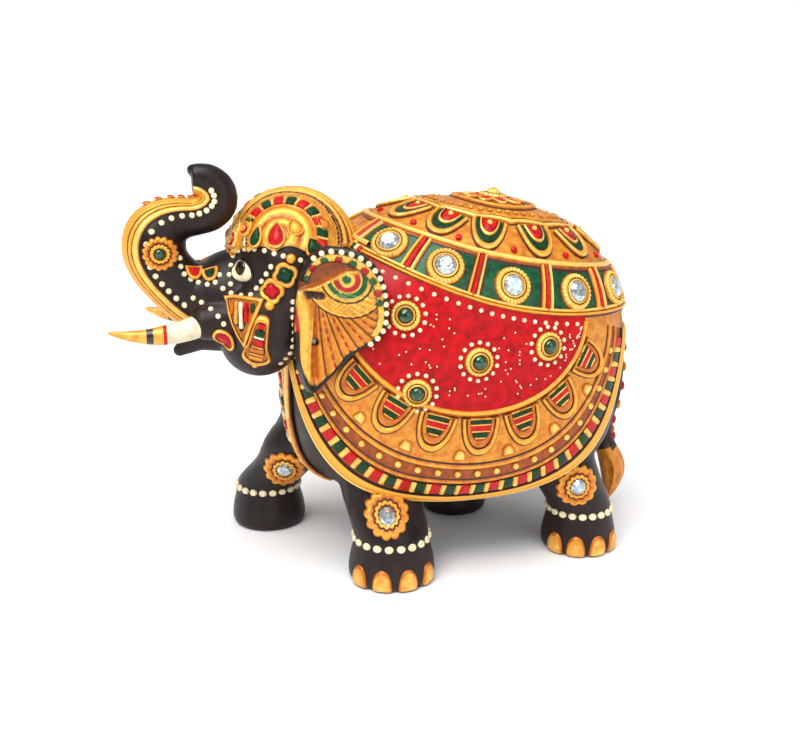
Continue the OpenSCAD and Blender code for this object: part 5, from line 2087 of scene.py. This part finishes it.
        # painted strip inside the rim with red and green rounds, then the bare dark rim
        around = np.degrees(np.arctan2(z - self.middle[1], y - self.middle[0]))
        strip = (k > 0.76) & (around > -30) & (around < 128) & (k < 0.9)
        brush(np.where(strip, soft(0.775 - k, 0.03), 0), pale)
        brush(np.where((around > -32) & (around < 128), soft(np.abs(k - 0.765) - 0.012, 0.015), 0), umber)
        height += np.where(strip, 0.5, 0)
        ring = smooth_line(EAR_LINE, 20, closed=True) - np.array(self.middle)
        turns = np.degrees(np.arctan2(ring[:, 1], ring[:, 0]))
        for i, turn in enumerate(np.linspace(14, 124, 9)):
            c = np.array(self.middle) + ring[int(np.argmin(np.abs(turns - turn)))] * 0.815
            spot = np.hypot(y - c[0], z - c[1])
            brush(soft(spot - 1.2), umber)
            brush(soft(spot - 1.0), red if i % 2 else green)
            height += 0.5 * ease((1.1 - spot) / 0.8)
        wavy = 0.895 + 0.02 * np.sin(np.radians(around * 11)) * (around < -35)
        outer = (around > -150) & (around < 132)
        brush(np.where(outer, soft(wavy - k, 0.02), 0), wood)
        height += np.where(outer & (k > wavy), 0.35, 0)
        return height * (1 - ease((k - 0.93) / 0.06)), colour

    def build(self) -> None:
        """Models the ear from a grid laid round its middle, front face then back."""
        ring = smooth_line(EAR_LINE, 20, closed=True)[::-1]
        n, m = len(ring), 74
        middle = np.array(self.middle)

        def place(u: Array, v: Array) -> Array:
            """Outer face for v up to 0.62, a rounded rim, then the inner face.

            Args:
                u: place along the skin, from 0 to 1.
                v: 0 in the middle of the outer face, 1 in the middle of the inner one.

            Returns:
                Points in space.
            """
            k = np.interp(v, (0, 0.62, 0.68, 0.74, 1), (0.0, 0.985, 1.0, 0.985, 0.0))
            p = middle + (ring[np.rint(u * n).astype(int) % n] - middle) * k[:, None]
            height, self.tint = self.carve(p, k)
            lift = np.interp(v, (0, 0.6, 0.64, 0.68, 0.74, 1), (self.thick, self.thick, 3.5, 2.0, 0.3, 0.0))
            x = ear_depth(p[:, 0], p[:, 1]) + lift + np.where(v < 0.64, height, 0)
            self.tint[v > 0.63] = linear(BARE_WOOD)
            return np.c_[x, p]

        shape = grid_shape(n, m, place, lambda u, v: Coat.PAINTED if v < 0.63 else WOOD, lambda u, v: 0.5 + 0 * u)
        shape.paint = self.tint
        name = self.side.name.lower()
        if self.side is Side.RIGHT:
            shape = shape.mirrored()
        make_piece(f"ear_{name}", [shape], [f"ear_{name}", f"ear_relief_{name}"], angle=60)


def ear_dots() -> None:
    """Cream dots on the dark rim of each ear."""
    ring = smooth_line(EAR_LINE, 20, closed=True)
    path = np.array([-26.0, 92.0]) + (ring - np.array([-26.0, 92.0])) * 0.935
    length = np.concatenate([[0], np.cumsum(np.linalg.norm(np.diff(path, axis=0), axis=1))])
    dot, shapes = eyed_dot(0.9, 0.7), []
    for d in np.arange(3.0, 48.0, 2.75):
        y, z = (float(np.interp(d, length, path[:, i])) for i in (0, 1))
        x = float(ear_depth(y, z)) + 4.2
        shapes.append(dot.laid(lambda v, x=x, y=y, z=z: np.c_[x + v[:, 2], y - v[:, 0], z - v[:, 1]]))
    make_piece("ear_dots", both_sides(shapes), ["ear_dots"], merge=0)


# ---- Tusks, tail and legs ----


@dataclass
class Tusks:
    """Ivory-painted tusks with coloured rings and gold tips."""

    lengths: tuple = (34.0, 22.0)
    root: float = 4.0

    def tusk(self, length: float) -> Shape:
        """One tusk, its rings raised by a coat of paint.

        Args:
            length: its length.

        Returns:
            The left tusk.
        """
        bands = [(0.0, Coat.IVORY, 0.0), (0.49, RED, 0.12), (0.52, PALE, 0.16),
                 (0.61, BLACK, 0.1), (0.67, PALE, 0.12)]
        cuts = sorted({0.0, 1.0, *np.linspace(0, 1, 30), *[b[0] for b in bands],
            *[b[0] - 0.004 for b in bands[1:]]})
        rings, coats = [], []
        for t in [-0.2, -0.1] + cuts:
            band = [b for b in bands if b[0] <= max(t, 0) + 1e-6][-1]
            s = max(t, 0)
            centre = np.array([13 + 2.5 * s, -57.7 - length * s + (t < 0) * 20 * -t,
                88.2 - 4.5 * math.sin(math.radians(150 * s))])
            r = (self.root * 0.75 if t < 0 else self.root - 3.6 * s ** 1.8) + band[2]
            if s > 0.97:
                r *= 0.7
            rings.append(ring_points(centre, ACROSS, np.array([0, 0, 1.0]), r, 24))
            coats.append(band[1])
        shape = tube_shape(np.array(rings), Coat.IVORY)
        for i, f in enumerate(shape.faces):
            y = shape.verts[list(f), 1].mean()
            row = int(np.argmin([abs(r[:, 1].mean() - y) for r in rings])) if len(f) < 5 else 0
            shape.coats[i] = coats[row] if len(f) < 5 or y > -60 else PALE
        return shape

    def build(self) -> None:
        """Makes both tusks; the right one is worn shorter."""
        make_piece("tusk_left", [self.tusk(self.lengths[0])], ["tusk_left"], angle=50)
        make_piece("tusk_right", [self.tusk(self.lengths[1]).mirrored()], ["tusk_right"], angle=50)


@dataclass
class Tail:
    """Tail with a row of painted bumps and a gilded tuft."""

    line: tuple = ((76, 84, 4.2), (81.5, 76, 4), (84.2, 62, 3.7), (84.2, 48, 3.4), (82, 36, 3), (82.4, 29, 3.6),
        (86.2, 19.5, 4.8), (86.2, 12, 3.4), (85, 5.5, 0.8))

    def build(self) -> None:
        """Models the tail as a tube with a grooved tuft, then its bumps."""
        path = smooth_line(self.line, 6)
        way = np.gradient(path[:, :2], axis=0)
        way /= np.linalg.norm(way, axis=1, keepdims=True)
        rings = []
        for i, ((y, z, r), (dy, dz)) in enumerate(zip(path, way)):
            t = np.arange(30) * 2 * np.pi / 30
            groove = 1 - 0.09 * (np.cos(10 * t) < 0) * ease((28 - z) / 6)
            rings.append(np.array([0, y, z]) + r * groove[:, None] * (np.sin(t)[:, None] * np.array([1.0, 0, 0])
                + np.cos(t)[:, None] * np.array([0, -dz, dy])))
        shape = tube_shape(np.array(rings), WOOD)
        for i, f in enumerate(shape.faces):
            z = shape.verts[list(f), 2].mean()
            shape.coats[i] = GOLD if z < 27 else UMBER if z < 28.5 else WOOD
        make_piece("tail", [shape], ["tail"], angle=50)
        bump = {c: gem_motif(1.9, c, 1.5) for c in (RED, GOLD)}
        shapes = []
        for j, i in enumerate(range(5, 30, 3)):
            y, z, r = path[i]
            dy, dz = way[i]
            n, along = np.array([0, -dz, dy]), np.array([0, dy, dz])
            n = n if n[1] > 0 else -n
            side = np.cross(along, n)
            c = np.array([0, y, z]) + n * (r - 0.4)
            shapes.append(bump[(RED, GOLD)[j % 2]].laid(
                lambda v, c=c, s=side, a=along, n=n: c + v[:, :1] * s + v[:, 1:2] * a + v[:, 2:3] * n))
        make_piece("rump_bumps", shapes, ["rump_bumps"], angle=50)


@dataclass
class LegTrappings:
    """Medallions, stones, ankle dots and gilded toenails."""

    host: Host
    body: Body

    def around(self, leg: int, turn: float, z: float, lift: float = 0.0, level: float = 0.3) -> Chart:
        """Chart on a leg, turned round it from straight out, at a height.

        Args:
            leg: its number in the body's list.
            turn: degrees forward from straight out.
            z: height.
            lift: height above the wood.
            level: 0 follows every dip, 1 keeps the ornament's own plane.

        Returns:
            A function from local points to points in space.
        """
        x, foot, hip, r, _, tuck = self.body.legs[leg]
        side = 1 if x > 0 else -1
        t = math.radians(turn)
        out = np.array([side * math.cos(t), -math.sin(t), 0.05])
        rise = max((z - 15) / 13, 0)
        middle = np.array([x * (1 - (1 - tuck) * rise), foot + (hip - foot) * 0.4 * rise, z])
        return self.host.spot(tuple(middle + out * (r - 2)), tuple(out), 0, lift, level)

    def build(self) -> None:
        """Builds the trappings of all four legs."""
        medallion, gem = medallion_motif(7.4, 2.7, 13), cut_stone(2.75, 8)
        places = ((0, 8, 24.0), (2, 8, 26), (1, 8, 25.5), (3, 8, 25.5), (1, 172, 25))
        charts = [self.around(leg, turn, z, 0.1) for leg, turn, z in places]
        make_piece("leg_medallions", [medallion.laid(c) for c in charts], ["leg_settings"], angle=40)
        charts = [self.around(leg, turn, z, -0.1, 1.0) for leg, turn, z in places]
        make_piece("leg_stones", [gem.laid(c) for c in charts], ["leg_stones"], angle=12)
        dot = Motif(circle(1, 12) * np.array([1.45, 1.2]), [(1, 0.3, CREAM), (0.82, 0.75, CREAM),
            (0.45, 0.9, CREAM), (0.2, 0.82, CREAM)]).model()
        dots = [dot.laid(self.around(leg, turn, 14.0, 0, 1.0)) for leg in range(4) for turn in np.arange(20) * 18.0]
        make_piece("ankle_dots", dots, ["ankle_dots"], merge=0)
        nail = Motif(tongue(6.6, 6.6, 20), [(1, 0.15, UMBER), (0.94, 0.95, 0.4, GOLD), (0.8, 0.82, 0.75, GOLD),
            (0.4, 0.45, 0.9, PALE)]).model().placed(0, 0, 180)
        shapes = [nail.laid(self.around(leg, turn, 0.5, 0, 0.0)) for leg in (0, 2) for turn in (62, 27, -8, -43)]
        make_piece("toenails", shapes, ["toenails"], angle=50)


# ---- Collar and strap ----


@dataclass
class Harness:
    """Neck collar and the strap across the breast."""

    def build(self) -> None:
        """Builds the collar and the two straps as strips with painted blocks."""
        rows = ([(-1.6, 0.1, UMBER)] + cord_rows(-1.2, 0.9, 1.5, PALE, 0.3) + [(1.0, 0.4, UMBER), (1.3, 0.7, GOLD),
                (4.9, 0.7, GOLD), (5.2, 0.4, UMBER)] + cord_rows(5.3, 6.9, 1.4, GOLD, 0.3) + [(7.1, 0.1, UMBER)])
        strip = profile_strip(rows, lambda u, k, h: BARREL.skin(-66 - 48 * u, 59.5 + k, h + BARREL.ground), 40)
        shapes = [strip]
        blocks = {c: Motif(rounded_box(2.1, 3.4, 0.3), [(1, 1.0, c), (0.85, 0.9, 1.4, c),
            (0.5, 0.6, 1.5, c)]).model() for c in (RED, GREEN, CREAM)}
        order = (RED, CREAM, GREEN, CREAM)
        for i, a in enumerate(np.linspace(-67.5, -112.5, 26)):
            shapes.append(blocks[order[i % 4]].placed(0, 0, 0, 0.6).laid(BARREL.spot(float(a), 62.6)))
        make_piece("neck_collar", shapes, ["neck_collar"], angle=40)
        rows = ([(-0.15, 0.1, UMBER)] + cord_rows(-0.1, 0.15, 1.2, PALE, 0.3)
            + [(0.18, 0.4, GOLD), (0.82, 0.4, GOLD)] + cord_rows(0.85, 1.1, 1.2, GOLD, 0.3)
            + [(1.15, 0.1, UMBER)])
        strap = profile_strip(rows, lambda u, k, h: BARREL.skin(-103 + 12 * k + 10 * u, 66 + 84 * u,
            h + BARREL.ground), 60)
        shapes = [strap]
        for i, b in enumerate(np.linspace(68, 148, 22)):
            u = (b - 66) / 84
            chart = BARREL.spot(-97 + 10 * float(u), float(b), 0, 0.0)
            shapes.append(blocks[order[i % 4]].placed(0, 0, 90).laid(chart))
        make_piece("breast_strap", both_sides(shapes), ["breast_strap"], angle=40)


def dress_hidden_parts() -> None:
    """Gives the dowel in the neck and the ear pins their own finishes."""
    for node, coat in (("neck_dowel", Coat.BARE), ("ear_pins", Coat.STEEL)):
        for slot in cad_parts[node].material_slots:
            slot.material = coat.material()


# ---- Room, lights and camera ----


@dataclass
class Studio:
    """Pale floor, soft lights and the camera."""

    camera_at: tuple = (0.3365, -0.0864, 0.1671)
    look_at: tuple = (-0.0145, 0.0077, 0.056)
    lens: float = 47.5
    overhead: float = 2.3
    floor_tone: float = 0.94

    def floor(self) -> None:
        """A wide pale floor."""
        bpy.ops.object.select_all(action="DESELECT")
        bpy.ops.mesh.primitive_plane_add(size=60, location=(0, 0, 0))
        floor = bpy.context.object
        floor.name = "floor"
        material = bpy.data.materials.new("pale_matt_floor")
        material.use_nodes = True
        shader = material.node_tree.nodes["Principled BSDF"]
        shader.inputs["Base Color"].default_value = (self.floor_tone,) * 3 + (1,)
        shader.inputs["Roughness"].default_value = 0.9
        floor.data.materials.append(material)

    def lamp(self, name: str, at: tuple, size: float, watts: float) -> None:
        """A soft square lamp aimed at the figure.

        Args:
            name: its name.
            at: its place in metres.
            size: its side in metres.
            watts: its power.
        """
        data = bpy.data.lights.new(name, "AREA")
        data.size = size
        data.energy = watts
        lamp = bpy.data.objects.new(name, data)
        lamp.location = at
        lamp.rotation_euler = (Vector((0, 0, 0.07)) - Vector(at)).to_track_quat("-Z", "Y").to_euler()
        bpy.context.scene.collection.objects.link(lamp)

    def sky(self) -> None:
        """A broad light from overhead and the surround, white round the horizon."""
        sun = bpy.data.lights.new("broad_overhead_light", "SUN")
        sun.energy, sun.angle = self.overhead, math.radians(50)
        overhead = bpy.data.objects.new("broad_overhead_light", sun)
        overhead.rotation_euler = (math.radians(12), math.radians(14), 0)
        bpy.context.scene.collection.objects.link(overhead)
        world = bpy.data.worlds.new("soft_surround")
        world.use_nodes = True
        tree = world.node_tree
        # dimmer overhead, so that dark lacquer keeps its depth
        way = add_node(tree, "ShaderNodeTexCoord")
        height = add_node(tree, "ShaderNodeSeparateXYZ", {}, {"Vector": way.outputs["Generated"]})
        fade = add_node(tree, "ShaderNodeValToRGB", {}, {"Fac": height.outputs["Z"]})
        set_stops(fade, [(0.06, "#ffffff"), (0.2, "#b4b4b4"), (0.9, "#c4c4c4")])
        tree.links.new(fade.outputs["Color"], tree.nodes["Background"].inputs["Color"])
        tree.nodes["Background"].inputs["Strength"].default_value = 1.0
        bpy.context.scene.world = world
        bpy.context.scene.view_settings.view_transform = "Standard"

    def camera(self) -> None:
        """The camera, a little above the figure's left side."""
        data = bpy.data.cameras.new("camera")
        data.lens = self.lens
        data.sensor_width = 36
        camera = bpy.data.objects.new("camera", data)
        camera.location = self.camera_at
        camera.rotation_euler = (Vector(self.look_at) - Vector(self.camera_at)).to_track_quat("-Z", "Y").to_euler()
        bpy.context.scene.collection.objects.link(camera)
        bpy.context.scene.camera = camera

    def build(self) -> None:
        """Sets the floor, the lamps, the surrounding light and the camera."""
        self.floor()
        self.lamp("key_lamp", (0.5, -0.5, 0.85), 0.45, 3.6)
        self.lamp("fill_lamp", (0.85, 0.35, 0.5), 0.6, 1.6)
        self.sky()
        self.camera()


def main() -> None:
    """Builds every sub-assembly in order."""
    logging.basicConfig(level=logging.INFO, format="%(message)s")
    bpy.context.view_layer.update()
    body = Body()
    body.build()
    head = Head()
    head.build()
    Cloth().build()
    HeadTrappings(head).build()
    for side in Side:
        Ear(side).build()
    ear_dots()
    Tusks().build()
    Tail().build()
    LegTrappings(Host.of(body.obj), body).build()
    Harness().build()
    dress_hidden_parts()
    Studio().build()


if __name__ == "__main__":
    main()
